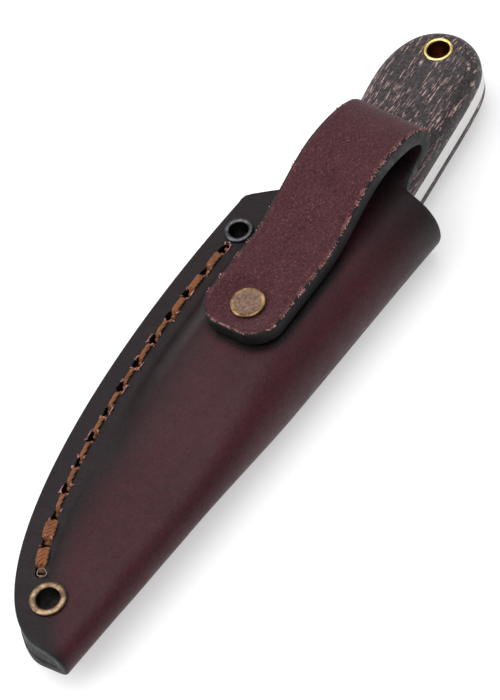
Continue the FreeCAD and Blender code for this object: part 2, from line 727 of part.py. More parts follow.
def make_handle_scale(label, side):
    """One handle scale with its outer edge rounded; side is 1 above the tang and -1 below it."""
    body = new_body(label)
    inner = "mid_height + blade_thickness / 2" if side > 0 else "mid_height - blade_thickness / 2"
    outline = new_sketch(body, f"{label}_outline", "XY_Plane", inner)
    outline.addGeometry(spline(HANDLE_POINTS, periodic=True))
    feature = pad(body, outline, "scale_thickness")
    feature.Reversed = side < 0
    doc.recompute()
    outer = size("mid_height") + side * (size("blade_thickness") / 2 + size("scale_thickness"))
    round_edges(body, "scale_round", level_at(outer))
    cut_handle_holes(body)
    return body


def make_lanyard_tube():
    body = new_body("lanyard_tube", "tube_x", "tube_y")
    bottom = "mid_height - blade_thickness / 2 - scale_thickness - tube_proud"
    length = "blade_thickness + 2 * scale_thickness + 2 * tube_proud"
    cylinder(body, "tube_outside", "tube_radius", length, bottom)
    cylinder(body, "tube_inside", "tube_bore", length + " + 2", bottom + " - 1", cut=True)
    return body


def make_handle_pins():
    body = new_body("handle_pins")
    sketch = new_sketch(body, "pin_circles", "XY_Plane", "mid_height")
    add_circle(sketch, "front_pin_x", "front_pin_y", "pin_radius")
    add_circle(sketch, "rear_pin_x", "rear_pin_y", "pin_radius")
    pad(body, sketch, "blade_thickness + 2 * scale_thickness", midplane=True)
    doc.recompute()
    return body


# ---------------------------------------------------------------- document


def check_document():
    for item in doc.Objects:
        if {"Invalid", "Error"} & set(item.State):
            raise RuntimeError(f"{item.Name} failed: {item.State}")


def export(bodies):
    os.makedirs("parts", exist_ok=True)
    for body in bodies:
        if body.Shape.isNull() or not body.Shape.isValid():
            raise RuntimeError(f"{body.Label} is not a valid shape")
        body.Shape.exportStep(f"parts/{body.Label}.step")
        print(body.Label, round(body.Shape.Volume, 1), len(body.Shape.Solids))


fill_sheet()
pieces = [make_sheath_leather(), make_welt(), make_seam_thread()]
for eyelet_side in ("upper", "lower"):
    pieces.append(make_eyelet(eyelet_side))
    pieces.append(make_eyelet_washer(eyelet_side))
pieces += [make_snap_stud(), make_snap_stud_post()]
pieces += [make_belt_strap(), make_snap_socket(), make_snap_cap()]
pieces += [make_knife_blade(), make_lanyard_tube(), make_handle_pins()]
for scale_label, scale_side in (("upper_handle_scale", 1), ("lower_handle_scale", -1)):
    pieces.append(make_handle_scale(scale_label, scale_side))
doc.recompute()
check_document()
export(pieces)
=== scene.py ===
"""Looks of the whittling knife in its leather sheath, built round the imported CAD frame.

Shapes are worked out in millimetres in the layout frame, whose x = 0, y = 0 is the press stud's
axis, and moved into the row frame (metres) by to_row().
"""
import random
from math import acos, atan2, copysign, cos, exp, hypot, pi, radians, sin, sqrt

import bmesh
import bpy
import numpy as np
from mathutils import Matrix, Vector, noise


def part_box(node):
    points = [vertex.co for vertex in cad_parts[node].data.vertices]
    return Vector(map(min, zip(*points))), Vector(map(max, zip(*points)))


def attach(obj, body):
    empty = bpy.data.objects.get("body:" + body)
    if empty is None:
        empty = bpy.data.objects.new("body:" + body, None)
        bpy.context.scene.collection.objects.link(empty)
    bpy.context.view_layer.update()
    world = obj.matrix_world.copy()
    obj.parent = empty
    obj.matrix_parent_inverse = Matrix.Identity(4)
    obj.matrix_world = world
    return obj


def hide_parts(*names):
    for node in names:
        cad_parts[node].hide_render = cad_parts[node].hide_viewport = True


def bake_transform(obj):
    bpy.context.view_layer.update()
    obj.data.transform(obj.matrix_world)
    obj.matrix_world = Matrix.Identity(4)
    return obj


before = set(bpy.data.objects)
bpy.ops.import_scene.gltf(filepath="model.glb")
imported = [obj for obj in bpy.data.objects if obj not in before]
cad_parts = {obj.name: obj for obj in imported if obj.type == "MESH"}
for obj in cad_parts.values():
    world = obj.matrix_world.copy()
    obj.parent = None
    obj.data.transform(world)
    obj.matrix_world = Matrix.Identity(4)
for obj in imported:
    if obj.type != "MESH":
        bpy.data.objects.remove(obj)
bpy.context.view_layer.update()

MM = 0.001


def centre(node):
    low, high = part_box(node)
    return (low + high) / 2 / MM


def extent(node):
    low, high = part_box(node)
    return (high - low) / MM


def level_span(node):
    """The lowest and highest z of a CAD node."""
    low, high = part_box(node)
    return low.z / MM, high.z / MM


# ---- sizes, in mm, from the frame

STUD = centre("snap_cap")
SHIFT = Vector((STUD.x, STUD.y, 0))
MID = centre("knife_blade").z
LEATHER = 2.8
WELT = extent("welt").z
MARGIN = WELT / 2 + LEATHER
CREST = 10.3
TIP_CREST = 4.3
BLADE_CREST = 5.2
FOLD_Y = -18.4
FOLD_LEAN = 0.9
FOLD_DEPTH = 9.0
END_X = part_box("welt")[0].x / MM - SHIFT.x
SEAM_CENTRE = (28.5, -11.0)
SEAM_RUN = SEAM_CENTRE[0] - END_X
SEAM_RISE = 37.7
SEAM_END_X = 26.8
SEAM_START = acos((SEAM_END_X - SEAM_CENTRE[0]) / SEAM_RUN)
FLAT_MARGIN = 9.2
MARGIN_INSET = 0.8
SHOULDER = 18.2
NARROWEST_SLOPE = 3.2
LEAST_MARGIN = 0.35
SLOPE_ROUND = 0.62
TIP_RISE = (-76.0, -66.0)
HANDLE_RISE = (-46.0, -8.0)
LEAN_SPAN = (-22.0, 45.2)
FLARE_START = 24.0
FLARE = 0.2
MOUTH_X = 45.8
MOUTH_POINTS = ((30.4, 25.2), (34.6, 20.3), (43.7, 4.0), (45.8, -12.0))
CORNER_MID = (29.1, 26.5)
END_SLANT = 0.9
SLANT_SPAN = (-16.0, -8.0)
SLANT_LENGTH = 16.0
WELT_POINTS = ((-76, -15.3), (-75, -12), (-73, -6), (-66, 1.2), (-52, 8), (-30, 13.2), (0, 16.8), (30, 18))
WELT_INSET = 0.25
WELT_RIM = 0.12

STRAP_COS, STRAP_SIN = cos(radians(3.5)), sin(radians(3.5))
STRAP_HALF = 10.0
STRAP_END = -8.2
STRAP_CORNER = 7.0
STRAP_LOW = MID + CREST + 0.3
STRAP_THICK = 3.9
PRESSED = (4.6, 8.6)
BEND_S = 53.3
FRONT_S = 58.3
FRONT_Z = MID + 12.7
ARCH_S = 42.5
ARCH_Z = MID + 19.3
ARCH_FOOT = 15.0
SKEW = 0.042
SKEW_SPAN = (ARCH_S - 4, BEND_S)
TONGUE_LEAN = 1.8
PLY = 0.05

STITCH_INSET = 5.6
STITCH_PITCH = 7.1
STITCH_SLIT = 2.4
SLIT_WIDTH = 1.1
FIRST_SLIT = 13.2
SLIT_COUNT = 14
STITCH_WIDTHS = [1.9, 1.8, 1.5] + [1.15] * (SLIT_COUNT - 6) + [2.7, 2.8]
TORN_LENGTH = STITCH_SLIT * 0.62


def to_row(points):
    """Layout millimetres to row metres."""
    return (np.asarray(points, float).reshape(-1, 3) + np.array(SHIFT)) * MM


def smooth_step(x, start, end):
    share = np.clip((np.asarray(x, float) - start) / (end - start), 0, 1)
    return share * share * (3 - 2 * share)


def eased(x, start, end):
    """smooth_step of one number."""
    return float(smooth_step(x, start, end))


def unit(vectors):
    return vectors / np.maximum(np.linalg.norm(vectors, axis=-1, keepdims=True), 1e-12)


def new_object(name, points, faces, materials, indices=None):
    """A smooth mesh object from layout millimetres."""
    mesh = bpy.data.meshes.new(name)
    mesh.from_pydata([tuple(p) for p in to_row(points)], [], [tuple(f) for f in faces])
    for material in materials:
        mesh.materials.append(material)
    if indices is not None:
        mesh.polygons.foreach_set("material_index", list(indices))
    piece = bpy.data.objects.new(name, mesh)
    bpy.context.scene.collection.objects.link(piece)
    return piece


def clean(piece, angle=40):
    """Merges doubled points, then shades smooth with sharp edges above the angle."""
    work = bmesh.new()
    work.from_mesh(piece.data)
    bmesh.ops.remove_doubles(work, verts=work.verts, dist=2e-6)
    bmesh.ops.dissolve_degenerate(work, edges=work.edges, dist=1e-6)
    bmesh.ops.recalc_face_normals(work, faces=work.faces)
    work.to_mesh(piece.data)
    work.free()
    piece.data.shade_smooth()
    piece.data.set_sharp_from_angle(angle=radians(angle))


def layout_points(piece):
    """A piece's points back in layout millimetres."""
    flat = np.zeros(len(piece.data.vertices) * 3)
    piece.data.vertices.foreach_get("co", flat)
    return flat.reshape(-1, 3) / MM - np.array(SHIFT)


def set_wear(piece, **values):
    """Gives a piece's points the values that the leather's materials read."""
    for name, given in values.items():
        layer = piece.data.attributes.new(name, "FLOAT", "POINT")
        layer.data.foreach_set("value", np.asarray(given, np.float32))


# ---- materials


class Shader:
    """A material's node tree, with short calls to add and join nodes."""

    def __init__(self, name):
        self.material = bpy.data.materials.new(name)
        self.material.use_nodes = True
        self.tree = self.material.node_tree
        self.body = self.tree.nodes["Principled BSDF"]
        self.place = self.add("TexCoord").outputs["Object"]

    def add(self, kind, links=None, **settings):
        """A node; settings are properties or, where the name is a socket's, that socket's value."""
        node = self.tree.nodes.new("ShaderNode" + kind)
        for key, value in settings.items():
            if hasattr(node, key):
                setattr(node, key, value)
            else:
                node.inputs[key.replace("_", " ")].default_value = value
        for key, source in (links or {}).items():
            self.tree.links.new(source, node.inputs[key])
        return node

    def scaled(self, scale, angle=0.0):
        """Object coordinates in millimetres, multiplied by a scale for each axis."""
        turned = self.add("Mapping", {"Vector": self.place}, Rotation=(0, 0, -angle))
        sizes = [s / MM for s in scale]
        return self.add("Mapping", {"Vector": turned.outputs[0]}, Scale=sizes).outputs[0]

    def noise(self, size, detail=4.0, rough=0.55, stretch=(1, 1, 1), angle=0.0):
        """Noise whose cells are about size millimetres across, from 0 to 1."""
        where = self.scaled([1 / size / s for s in stretch], angle)
        return self.add("TexNoise", {"Vector": where}, Scale=1.0, Detail=detail, Roughness=rough).outputs[0]

    def cell_edges(self, size):
        """Distance to the edges of cells about size millimetres across."""
        where = self.scaled([1 / size] * 3)
        node = self.add("TexVoronoi", {"Vector": where}, Scale=1.0, feature="DISTANCE_TO_EDGE")
        return node.outputs["Distance"]

    def levels(self, source, low, high, out_low=0.0, out_high=1.0):
        """Eases a value from the range low to high into the range out_low to out_high."""
        limits = {"From_Min": low, "From_Max": high, "To_Min": out_low, "To_Max": out_high}
        node = self.add("MapRange", {"Value": source}, interpolation_type="SMOOTHSTEP", **limits)
        return node.outputs[0]

    def mix(self, factor, a, b, blend="MIX"):
        """Mixes two colours, each a socket or a colour."""
        node = self.add("Mix", data_type="RGBA", blend_type=blend)
        for key, value in (("Factor_Float", factor), ("A_Color", a), ("B_Color", b)):
            socket = next(i for i in node.inputs if i.identifier == key)
            if isinstance(value, bpy.types.NodeSocket):
                self.tree.links.new(value, socket)
            elif isinstance(value, tuple):
                socket.default_value = (*value, 1)
            else:
                socket.default_value = value
        return next(o for o in node.outputs if o.identifier == "Result_Color")

    def math(self, operation, a, b=0.0):
        node = self.add("Math", operation=operation)
        for index, value in enumerate((a, b)):
            if isinstance(value, bpy.types.NodeSocket):
                self.tree.links.new(value, node.inputs[index])
            else:
                node.inputs[index].default_value = value
        return node.outputs[0]

    def attribute(self, name):
        return self.add("Attribute", attribute_name=name).outputs["Fac"]

    def bump(self, height, distance, strength=1.0, under=None):
        """A bump whose full height is distance millimetres."""
        links = {"Height": height}
        if under is not None:
            links["Normal"] = under
        node = self.add("Bump", links, Distance=distance * MM, Strength=strength)
        return node.outputs[0]

    def finish(self, colour, roughness, normal, **constants):
        for key, source in (("Base Color", colour), ("Roughness", roughness), ("Normal", normal)):
            self.tree.links.new(source, self.body.inputs[key])
        for key, value in constants.items():
            self.body.inputs[key.replace("_", " ")].default_value = value
        return self.material


def srgb(red, green, blue):
    """A display colour, 0 to 255, as linear light."""
    parts = [c / 255 for c in (red, green, blue)]
    return tuple(c / 12.92 if c <= 0.04045 else ((c + 0.055) / 1.055) ** 2.4 for c in parts)


def grain_leather():
    """Waxed oxblood leather, burnished almost black towards its edges."""
    s = Shader("oxblood_grain")
    dark = s.mix(s.noise(9, 3), srgb(24, 16, 18), srgb(37, 25, 28))
    red = s.mix(s.noise(14, 4), srgb(54, 20, 27), srgb(72, 29, 37))
    patch = s.math("ADD", s.attribute("burnish"), s.math("MULTIPLY", s.noise(16, 4), 0.34))
    body = s.mix(s.levels(patch, 0.28, 1.0), red, dark)
    flecks = s.levels(s.noise(0.8, 4, 0.7), 0.40, 0.66)
    body = s.mix(s.math("MULTIPLY", flecks, 0.42), body, srgb(20, 10, 13))
    # painted shadow: the strap's contact shadow, darkened into the panel along its sides and end
    body = s.mix(s.levels(s.attribute("stain"), 0.0, 1.0, 0.0, 0.9), body, srgb(10, 8, 9))
    body = s.mix(s.levels(s.attribute("wear"), 0.0, 1.0, 0.0, 0.55), body, srgb(84, 58, 60))
    pores = s.cell_edges(0.55)
    fine = s.noise(0.28, 4)
    wave = s.noise(6, 2)
    normal = s.bump(wave, 0.28, 0.6)
    normal = s.bump(s.levels(pores, 0.0, 0.25), 0.05, 0.7, normal)
    normal = s.bump(fine, 0.06, 0.7, normal)
    rough = s.levels(s.noise(3.0, 4), 0.25, 0.8, 0.36, 0.5)
    return s.finish(body, rough, normal, Specular_IOR_Level=0.25, IOR=1.45)


def flesh_leather():
    """The loose flesh side: dyed, felted fibres."""
    s = Shader("suede_flesh")
    base = s.mix(s.noise(5, 4), srgb(68, 33, 38), srgb(87, 48, 53))
    speck = s.noise(0.62, 4, 0.75)
    base = s.mix(s.levels(speck, 0.42, 0.64, 0.0, 0.75), base, srgb(42, 19, 24))
    pale = s.levels(s.noise(0.5, 3, 0.7), 0.56, 0.70, 0.0, 0.6)
    base = s.mix(pale, base, srgb(134, 88, 86))
    edge = s.math("MULTIPLY", s.attribute("fray"), s.levels(s.noise(0.6, 3), 0.42, 0.58))
    base = s.mix(edge, base, srgb(176, 124, 116))
    normal = s.bump(s.noise(1.3, 3), 0.10, 0.6)
    normal = s.bump(speck, 0.12, 0.8, normal)
    rough = s.levels(s.noise(0.9, 3), 0.2, 0.8, 0.82, 0.98)
    return s.finish(base, rough, normal, Specular_IOR_Level=0.2, Sheen_Weight=0.12, Sheen_Roughness=0.5)


def edge_leather():
    """Painted and burnished edge, with faint layers of fibre."""
    s = Shader("edge_black")
    fibres = s.noise(1.0, 4, 0.6, (2.2, 2.2, 0.22))
    base = s.mix(fibres, srgb(9, 8, 9), srgb(30, 28, 31))
    scuffs = s.levels(s.noise(2.4, 4, 0.6), 0.6, 0.8, 0.0, 0.5)
    base = s.mix(scuffs, base, srgb(54, 50, 54))
    normal = s.bump(fibres, 0.10, 0.7)
    normal = s.bump(s.noise(0.35, 3), 0.06, 0.5, normal)
    rough = s.levels(s.noise(1.5, 3), 0.25, 0.8, 0.42, 0.68)
    return s.finish(base, rough, normal, Specular_IOR_Level=0.25)


def waxed_thread():
    s = Shader("thread_waxed")
    hairs = s.noise(0.22, 3, 0.6)
    base = s.mix(hairs, srgb(84, 42, 16), srgb(168, 102, 50))
    base = s.mix(s.levels(s.noise(2.6, 2), 0.45, 0.75, 0.0, 0.6), base, srgb(78, 38, 18))
    normal = s.bump(hairs, 0.06, 0.8)
    rough = s.levels(s.noise(0.8, 2), 0.2, 0.8, 0.5, 0.72)
    return s.finish(base, rough, normal, Specular_IOR_Level=0.4, Sheen_Weight=0.15)


def fibrous(s, base, low, high, specular):
    """A finish of fine hairs, with roughness from low to high."""
    normal = s.bump(s.noise(0.2, 3), 0.05, 0.8)
    rough = s.levels(s.noise(0.7, 2), 0.2, 0.8, low, high)
    return s.finish(base, rough, normal, Specular_IOR_Level=specular)


def torn_fibre():
    s = Shader("torn_fibre")
    base = s.mix(s.levels(s.noise(0.6, 3), 0.3, 0.7), srgb(92, 46, 48), srgb(204, 152, 144))
    return fibrous(s, base, 0.7, 0.9, 0.3)


def pale_thread():
    s = Shader("thread_pale")
    base = s.mix(s.noise(0.4, 3), srgb(84, 78, 76), srgb(146, 140, 134))
    return fibrous(s, base, 0.45, 0.65, 0.4)


def metal(name, deep, light, low, high, mottle=1.6, bumps=0.012):
    """An aged metal whose colour and gloss are mottled."""
    s = Shader(name)
    spots = s.noise(mottle, 5, 0.62)
    base = s.mix(s.levels(spots, 0.35, 0.66), deep, light)
    scratches = s.noise(0.5, 3, 0.6, (3.0, 0.25, 1), 0.6)
    normal = s.bump(scratches, bumps, 0.7)
    normal = s.bump(s.noise(0.6, 3), bumps, 0.6, normal)
    rough = s.levels(spots, 0.3, 0.7, high, low)
    return s.finish(base, rough, normal, Metallic=1.0)


def brushed_steel():
    s = Shader("steel_brushed")
    lines = s.noise(1.0, 2, 0.6, (0.16, 3.0, 0.16))
    base = s.mix(lines, srgb(186, 185, 184), srgb(226, 225, 223))
    normal = s.bump(lines, 0.0012, 0.6)
    rough = s.levels(s.noise(2.5, 3), 0.2, 0.8, 0.24, 0.4)
    return s.finish(base, rough, normal, Metallic=1.0)


def micarta():
    """Layered burlap resin: coarse threads ground through into dashes along the handle."""
    s = Shader("micarta_burlap")
    angle = radians(6)
    ground = s.mix(s.levels(s.noise(0.8, 5, 0.75), 0.3, 0.7), srgb(18, 14, 16), srgb(76, 66, 70))
    dash = s.noise(1.0, 1, 0.4, (3.0, 0.38, 0.4), angle)
    columns = s.noise(1.0, 1, 0.5, (14, 0.9, 9), angle)
    threads = s.math("MULTIPLY", s.levels(dash, 0.54, 0.62), s.levels(columns, 0.40, 0.54))
    tint = s.mix(s.levels(s.noise(1.1, 3), 0.3, 0.7), srgb(104, 78, 78), srgb(206, 172, 166))
    base = s.mix(threads, ground, tint)
    weft = s.noise(1.0, 2, 0.5, (0.4, 1.3, 0.4), angle)
    base = s.mix(s.levels(weft, 0.52, 0.64, 0.0, 0.75), base, srgb(20, 17, 18))
    normal = s.bump(dash, 0.12, 0.6)
    normal = s.bump(weft, 0.08, 0.6, normal)
    normal = s.bump(s.noise(0.4, 3), 0.05, 0.6, normal)
    rough = s.levels(s.noise(1.2, 3), 0.25, 0.75, 0.46, 0.66)
    return s.finish(base, rough, normal, Specular_IOR_Level=0.4)


GRAIN = grain_leather()
FLESH = flesh_leather()
EDGE = edge_leather()
THREAD = waxed_thread()
TORN = torn_fibre()
PALE = pale_thread()
STEEL = brushed_steel()
MICARTA = micarta()
GUNMETAL = metal("gunmetal_aged", srgb(58, 58, 62), srgb(104, 104, 108), 0.26, 0.44)
ANTIQUE = metal("brass_antique", srgb(98, 78, 62), srgb(164, 138, 112), 0.26, 0.46)
CAP = metal("brass_cap", srgb(104, 83, 73), srgb(130, 107, 94), 0.36, 0.54, 0.7)
CAP_RIM = metal("brass_cap_rim", srgb(98, 74, 56), srgb(158, 128, 92), 0.28, 0.44, 1.8)
# painted shade: near-black colour for the inside of the eyelet barrels, standing for the shade in the holes
SHADED_BORE = metal("bore_painted_shade", srgb(20, 18, 17), srgb(46, 40, 36), 0.4, 0.6)
BRIGHT = metal("brass_bright", srgb(236, 196, 96), srgb(254, 232, 160), 0.16, 0.30)
# painted shade: brass darkened for the inside of the lanyard tube, standing for the shade in it
SHADED_TUBE_BORE = metal("brass_bore_painted_shade", srgb(92, 48, 14), srgb(150, 92, 36), 0.3, 0.5)


# ---- mesh builders

OUTER_TURNS = (30, 60, 90)
INNER_TURNS = (90, 45, 0)


def boundary_loops(quads):
    """Loops of points along the open edges of a sheet, each with the sheet on its left."""
    edges = {(a, b) for quad in quads for a, b in zip(quad, quad[1:] + quad[:1])}
    onward = {a: b for a, b in edges if (b, a) not in edges}
    loops = []
    while onward:
        start, point = onward.popitem()
        loop = [start]
        while point != start:
            loop.append(point)
            point = onward.pop(point)
        loops.append(loop)
    return loops


def rim_directions(loop, outer, normals, square):
    """The way out of the sheet at each point of a loop; zero inside a run of square points."""
    count = len(loop)
    ways = np.zeros((count, 3))
    for k, point in enumerate(loop):
        before, after = loop[k - 1], loop[(k + 1) % count]
        if point in square:
            if before in square and after in square:
                continue
            before = point if before in square else before
            after = point if after in square else after
        ways[k] = unit(np.cross(outer[after] - outer[before], normals[k]))
    return ways


def rim_rows(top, low, normals, ways, radius, inner_radius):
    """Rows of points round a sheet's rim, from its outer face to its inner face."""
    rounded = np.abs(ways).sum(1, keepdims=True) > 0
    rows = []
    for edge, sign, bend, turns in ((top, -1, radius, OUTER_TURNS), (low, 1, inner_radius, INNER_TURNS)):
        for turn in turns:
            out, down = sin(radians(turn)), 1 - cos(radians(turn))
            reach = radius - bend + bend * out
            rows.append(edge + reach * ways + sign * bend * down * normals * rounded)
    return rows


def solid_sheet(name, outer, inner, quads, radius, inner_radius, materials, square=()):
    """A closed sheet: outer and inner faces joined by a rim with rounded corners.

    The rim reaches radius beyond the given points. Materials are for outer, inner and rim.
    """
    outer, inner = np.asarray(outer, float), np.asarray(inner, float)
    count = len(outer)
    points = [outer, inner]
    faces = [tuple(quad) for quad in quads]
    faces += [tuple(count + p for p in reversed(quad)) for quad in quads]
    indices = [0] * len(quads) + [1] * len(quads)
    base = 2 * count
    square = set(square)
    for loop in boundary_loops(quads):
        size = len(loop)
        top, low = outer[loop], inner[loop]
        normals = unit(top - low)
        ways = rim_directions(loop, outer, normals, square)
        rows = rim_rows(top, low, normals, ways, radius, inner_radius)
        starts = [loop] + [[base + size * r + k for k in range(size)] for r in range(len(rows))]
        starts.append([count + p for p in loop])
        for upper, lower in zip(starts, starts[1:]):
            for k in range(size):
                n = (k + 1) % size
                faces.append((upper[n], upper[k], lower[k], lower[n]))
                indices.append(2)
        points += rows
        base += size * len(rows)
    return new_object(name, np.vstack(points), faces, materials, indices)


def grid_quads(rows, columns, turned=False):
    """Faces of a grid of points; turned makes them face the other way."""
    quads = []
    for i in range(rows - 1):
        for j in range(columns - 1):
            a, b = i * columns + j, (i + 1) * columns + j
            quads.append((a, a + 1, b + 1, b) if turned else (a, b, b + 1, a + 1))
    return quads


def ring_faces(rings, sides):
    """Faces of a closed tube made of rings of points."""
    faces = []
    for i in range(rings - 1):
        for k in range(sides):
            n = (k + 1) % sides
            faces.append((i * sides + k, i * sides + n, (i + 1) * sides + n, (i + 1) * sides + k))
    faces.append(tuple(reversed(range(sides))))
    faces.append(tuple((rings - 1) * sides + k for k in range(sides)))
    return faces


def tube_parts(path, radii, sides=8, flatten=1.0):
    """Points and faces of a closed tube along a path; flatten scales it upright."""
    path = np.asarray(path, float)
    along = unit(np.gradient(path, axis=0))
    side = unit(np.cross(along, [0, 0, 1.0]) + 1e-9)
    lift = np.cross(side, along)
    points = []
    for k in range(sides):
        turn = 2 * pi * k / sides
        ring = side * cos(turn) + lift * sin(turn) * flatten
        points.append(path + ring * np.asarray(radii, float).reshape(-1, 1))
    return np.stack(points, axis=1).reshape(-1, 3), ring_faces(len(path), sides)


def merged_object(name, parts, material):
    """One object made of (points, faces) pairs."""
    points, faces = merge(parts)
    return new_object(name, points, faces, [material])


def merge(parts):
    """Joins (points, faces) pairs."""
    points, faces, base = [], [], 0
    for some, sides in parts:
        points.append(some)
        faces += [tuple(base + p for p in face) for face in sides]
        base += len(some)
    return np.vstack(points), faces


def lathe_parts(profile, middle, segments=72):
    """A solid of revolution about an upright axis; profile is a closed list of (radius, z)."""
    size = len(profile)
    points, faces = [], []
    for k in range(segments):
        a, b = k * size, (k + 1) % segments * size
        points += [(*arc(middle, r, [2 * pi * k / segments])[0], z) for r, z in profile]
        faces += [(a + p, b + p, b + (p + 1) % size, a + (p + 1) % size) for p in range(size)]
    return np.array(points), faces


def arc(middle, radius, turns):
    """Points of a circle at the given angles."""
    return [(middle[0] + radius * cos(t), middle[1] + radius * sin(t)) for t in turns]


def arc_points(middle, radius, start, end, steps):
    """Points of an arc as (r, z), angles in degrees."""
    return arc(middle, radius, [radians(start + (end - start) * k / steps) for k in range(steps + 1)])


# ---- the sheath's form

CROWN = 0.55
RIM = 0.6
INNER_RIM = 0.25
MARGIN_STEPS, SLOPE_STEPS, TOP_STEPS, FOLD_STEPS = 12, 12, 12, 12
COLUMNS = 190
TONGUE_ROWS = 18
TONGUE_FLARE = 4.4
FLARE_LENGTH = 5.0
SEAM_SAMPLES, MOUTH_SAMPLES, FOLD_SAMPLES = 700, 90, 12
PAST_FOLD = 3
MOUTH_SEARCH = (20.0, 50.0)
CALM_SPAN = (12, 26)
CREASE_INSET, CREASE_WIDTH, CREASE_DEPTH = 8.6, 0.8, 0.32
CREASE_START, CREASE_END = (-84, -74), (-62, -46)
RIPPLE_SLOW, RIPPLE_FINE = 0.22, 0.07


def corner_arc(steps=12):
    """The rounded corner from the seam's end through CORNER_MID to the mouth."""
    start = (SEAM_END_X, seam_line(SEAM_END_X))
    a, b, c = (complex(*p) for p in (start, CORNER_MID, MOUTH_POINTS[0]))
    w = (c - a) / (b - a)
    middle = (b - a) * (w - abs(w) ** 2) / (2j * w.imag) + a
    first, last = (atan2((p - middle).imag, (p - middle).real) for p in (a, c))
    turns = [first + (last - first) * k / steps for k in range(steps + 1)]
    return arc((middle.real, middle.imag), abs(a - middle), turns)


def seam_line(x):
    share = (SEAM_CENTRE[0] - np.minimum(x, SEAM_CENTRE[0])) / SEAM_RUN
    return SEAM_CENTRE[1] + SEAM_RISE * np.sqrt(np.maximum(0, 1 - share * share))


def seam_points(turns):
    """Points of the seam's edge, which is part of an ellipse, at the given angles."""
    xs = SEAM_CENTRE[0] + SEAM_RUN * np.cos(turns)
    return np.stack([xs, SEAM_CENTRE[1] + SEAM_RISE * np.sin(turns)], 1)


def outline(inward):
    """The sheath's outline in plan, moved inward: its seam edge, then its mouth as far as the fold."""
    seam = seam_points(np.linspace(pi, SEAM_START, SEAM_SAMPLES))
    corner = corner_arc()
    curve = np.polyfit([p[1] for p in MOUTH_POINTS], [p[0] for p in MOUTH_POINTS], 3)
    start, end = MOUTH_POINTS[0][1], MOUTH_POINTS[-1][1]
    mouth = [(np.polyval(curve, y), y) for y in np.linspace(start, end, MOUTH_SAMPLES)]
    fold = [(MOUTH_X, y) for y in np.linspace(end, FOLD_Y - PAST_FOLD, FOLD_SAMPLES)]
    line = np.vstack([seam, corner[1:], mouth[1:], fold[1:]])
    along = unit(np.gradient(line, axis=0))
    moved = line + inward * np.stack([along[:, 1], -along[:, 0]], axis=1)
    middle = len(seam) + len(corner) // 2
    return moved[:middle], moved[middle - 1:]


def raised(x, tip, blade, handle):
    """A size that changes from the tip to the blade and from the blade to the handle."""
    return tip + (blade - tip) * eased(x, *TIP_RISE) + (handle - blade) * eased(x, *HANDLE_RISE)


class Section:
    """The sheath's half section at x: heights above the mid-plane, outside or in the cavity."""

    def __init__(self, x, inset):
        lean = FOLD_LEAN * eased(x, *LEAN_SPAN)
        depth = raised(x, TIP_CREST, BLADE_CREST, FOLD_DEPTH)
        flare = FLARE * max(0.0, x - FLARE_START)
        self.inset = inset
        self.crest = raised(x, TIP_CREST, BLADE_CREST, CREST) - inset
        self.depth = depth - inset
        self.centre_y = FOLD_Y + lean + depth
        self.base = MARGIN - inset
        self.shoulder = max(float(seam_line(x)) - SHOULDER + flare, self.centre_y + 1)
        edge = float(seam_line(x)) - FLAT_MARGIN + flare - (MARGIN_INSET if inset else 0)
        self.margin = max(edge, self.shoulder + NARROWEST_SLOPE)

    def height(self, y):
        share = min(1.0, max(0.0, (y - self.shoulder) / (self.margin - self.shoulder)))
        fall = cos(pi * share / 2)
        if not self.inset:
            fall = SLOPE_ROUND * fall + (1 - SLOPE_ROUND) * (1 + cos(pi * share)) / 2
        return self.base + (self.crest - self.base) * fall

    def crown(self, share):
        """How far the outside falls away towards the fold, which keeps its curve without a break."""
        if self.inset or share <= 2:
            return 0.0
        drop = CROWN * (self.crest - self.base) / (CREST - MARGIN)
        if share <= 3:
            return drop * (share - 2) ** 2
        slope = 2 * drop / (self.shoulder - self.centre_y)
        turn = pi / 2 * (4 - share)
        return (drop + slope * self.depth * cos(turn)) * sin(turn) ** 2

    def point(self, edge, share):
        """A point (y, z) of the half section; share runs from the seam at 0 to the fold at 4."""
        width = edge - self.centre_y
        margin = min(self.margin, edge - LEAST_MARGIN * width)
        shoulder = min(self.shoulder, edge - (1 - LEAST_MARGIN) * width)
        if share <= 3:
            y = float(np.interp(share, (0, 1, 2, 3), (edge, margin, shoulder, self.centre_y)))
            return y, self.height(y) - self.crown(share)
        turn = pi / 2 * (4 - share)
        return self.centre_y - self.depth * cos(turn), self.crest * sin(turn) - self.crown(share)


SEAM_EDGE, MOUTH_EDGE = outline(RIM)
SEAM_TRUE, MOUTH_TRUE = outline(0.0)


def edge_at(x, line):
    return float(np.interp(x, line[:, 0], line[:, 1]))


def mouth_at(y, line):
    return float(np.interp(y, line[::-1, 1], line[::-1, 0]))


def mouth_of(share):
    """Where the line of the sheath at this share of its half section meets the mouth."""
    low, high = MOUTH_SEARCH
    for _ in range(32):
        x = (low + high) / 2
        y, _ = Section(x, 0).point(edge_at(x, SEAM_EDGE), share)
        if mouth_at(y, MOUTH_EDGE) > x:
            low = x
        else:
            high = x
    return (low + high) / 2


def section_shares():
    counts = (MARGIN_STEPS, SLOPE_STEPS, TOP_STEPS, FOLD_STEPS)
    shares = [region + k / steps for region, steps in enumerate(counts) for k in range(steps)]
    return shares + [4.0]


def ripple(x, y):
    """Slow unevenness of the moulded panel, in mm."""
    slow = noise.noise(Vector((x / 17, y / 11, 4.0)))
    return RIPPLE_SLOW * slow + RIPPLE_FINE * noise.noise(Vector((x / 5, y / 5, 9.0)))


def crease(x, y, edge):
    """The faint groove just inside the stitches near the tip."""
    away = (edge + RIM - y - CREASE_INSET) / CREASE_WIDTH
    return -CREASE_DEPTH * exp(-away ** 2) * (eased(x, *CREASE_START) * (1 - eased(x, *CREASE_END)))


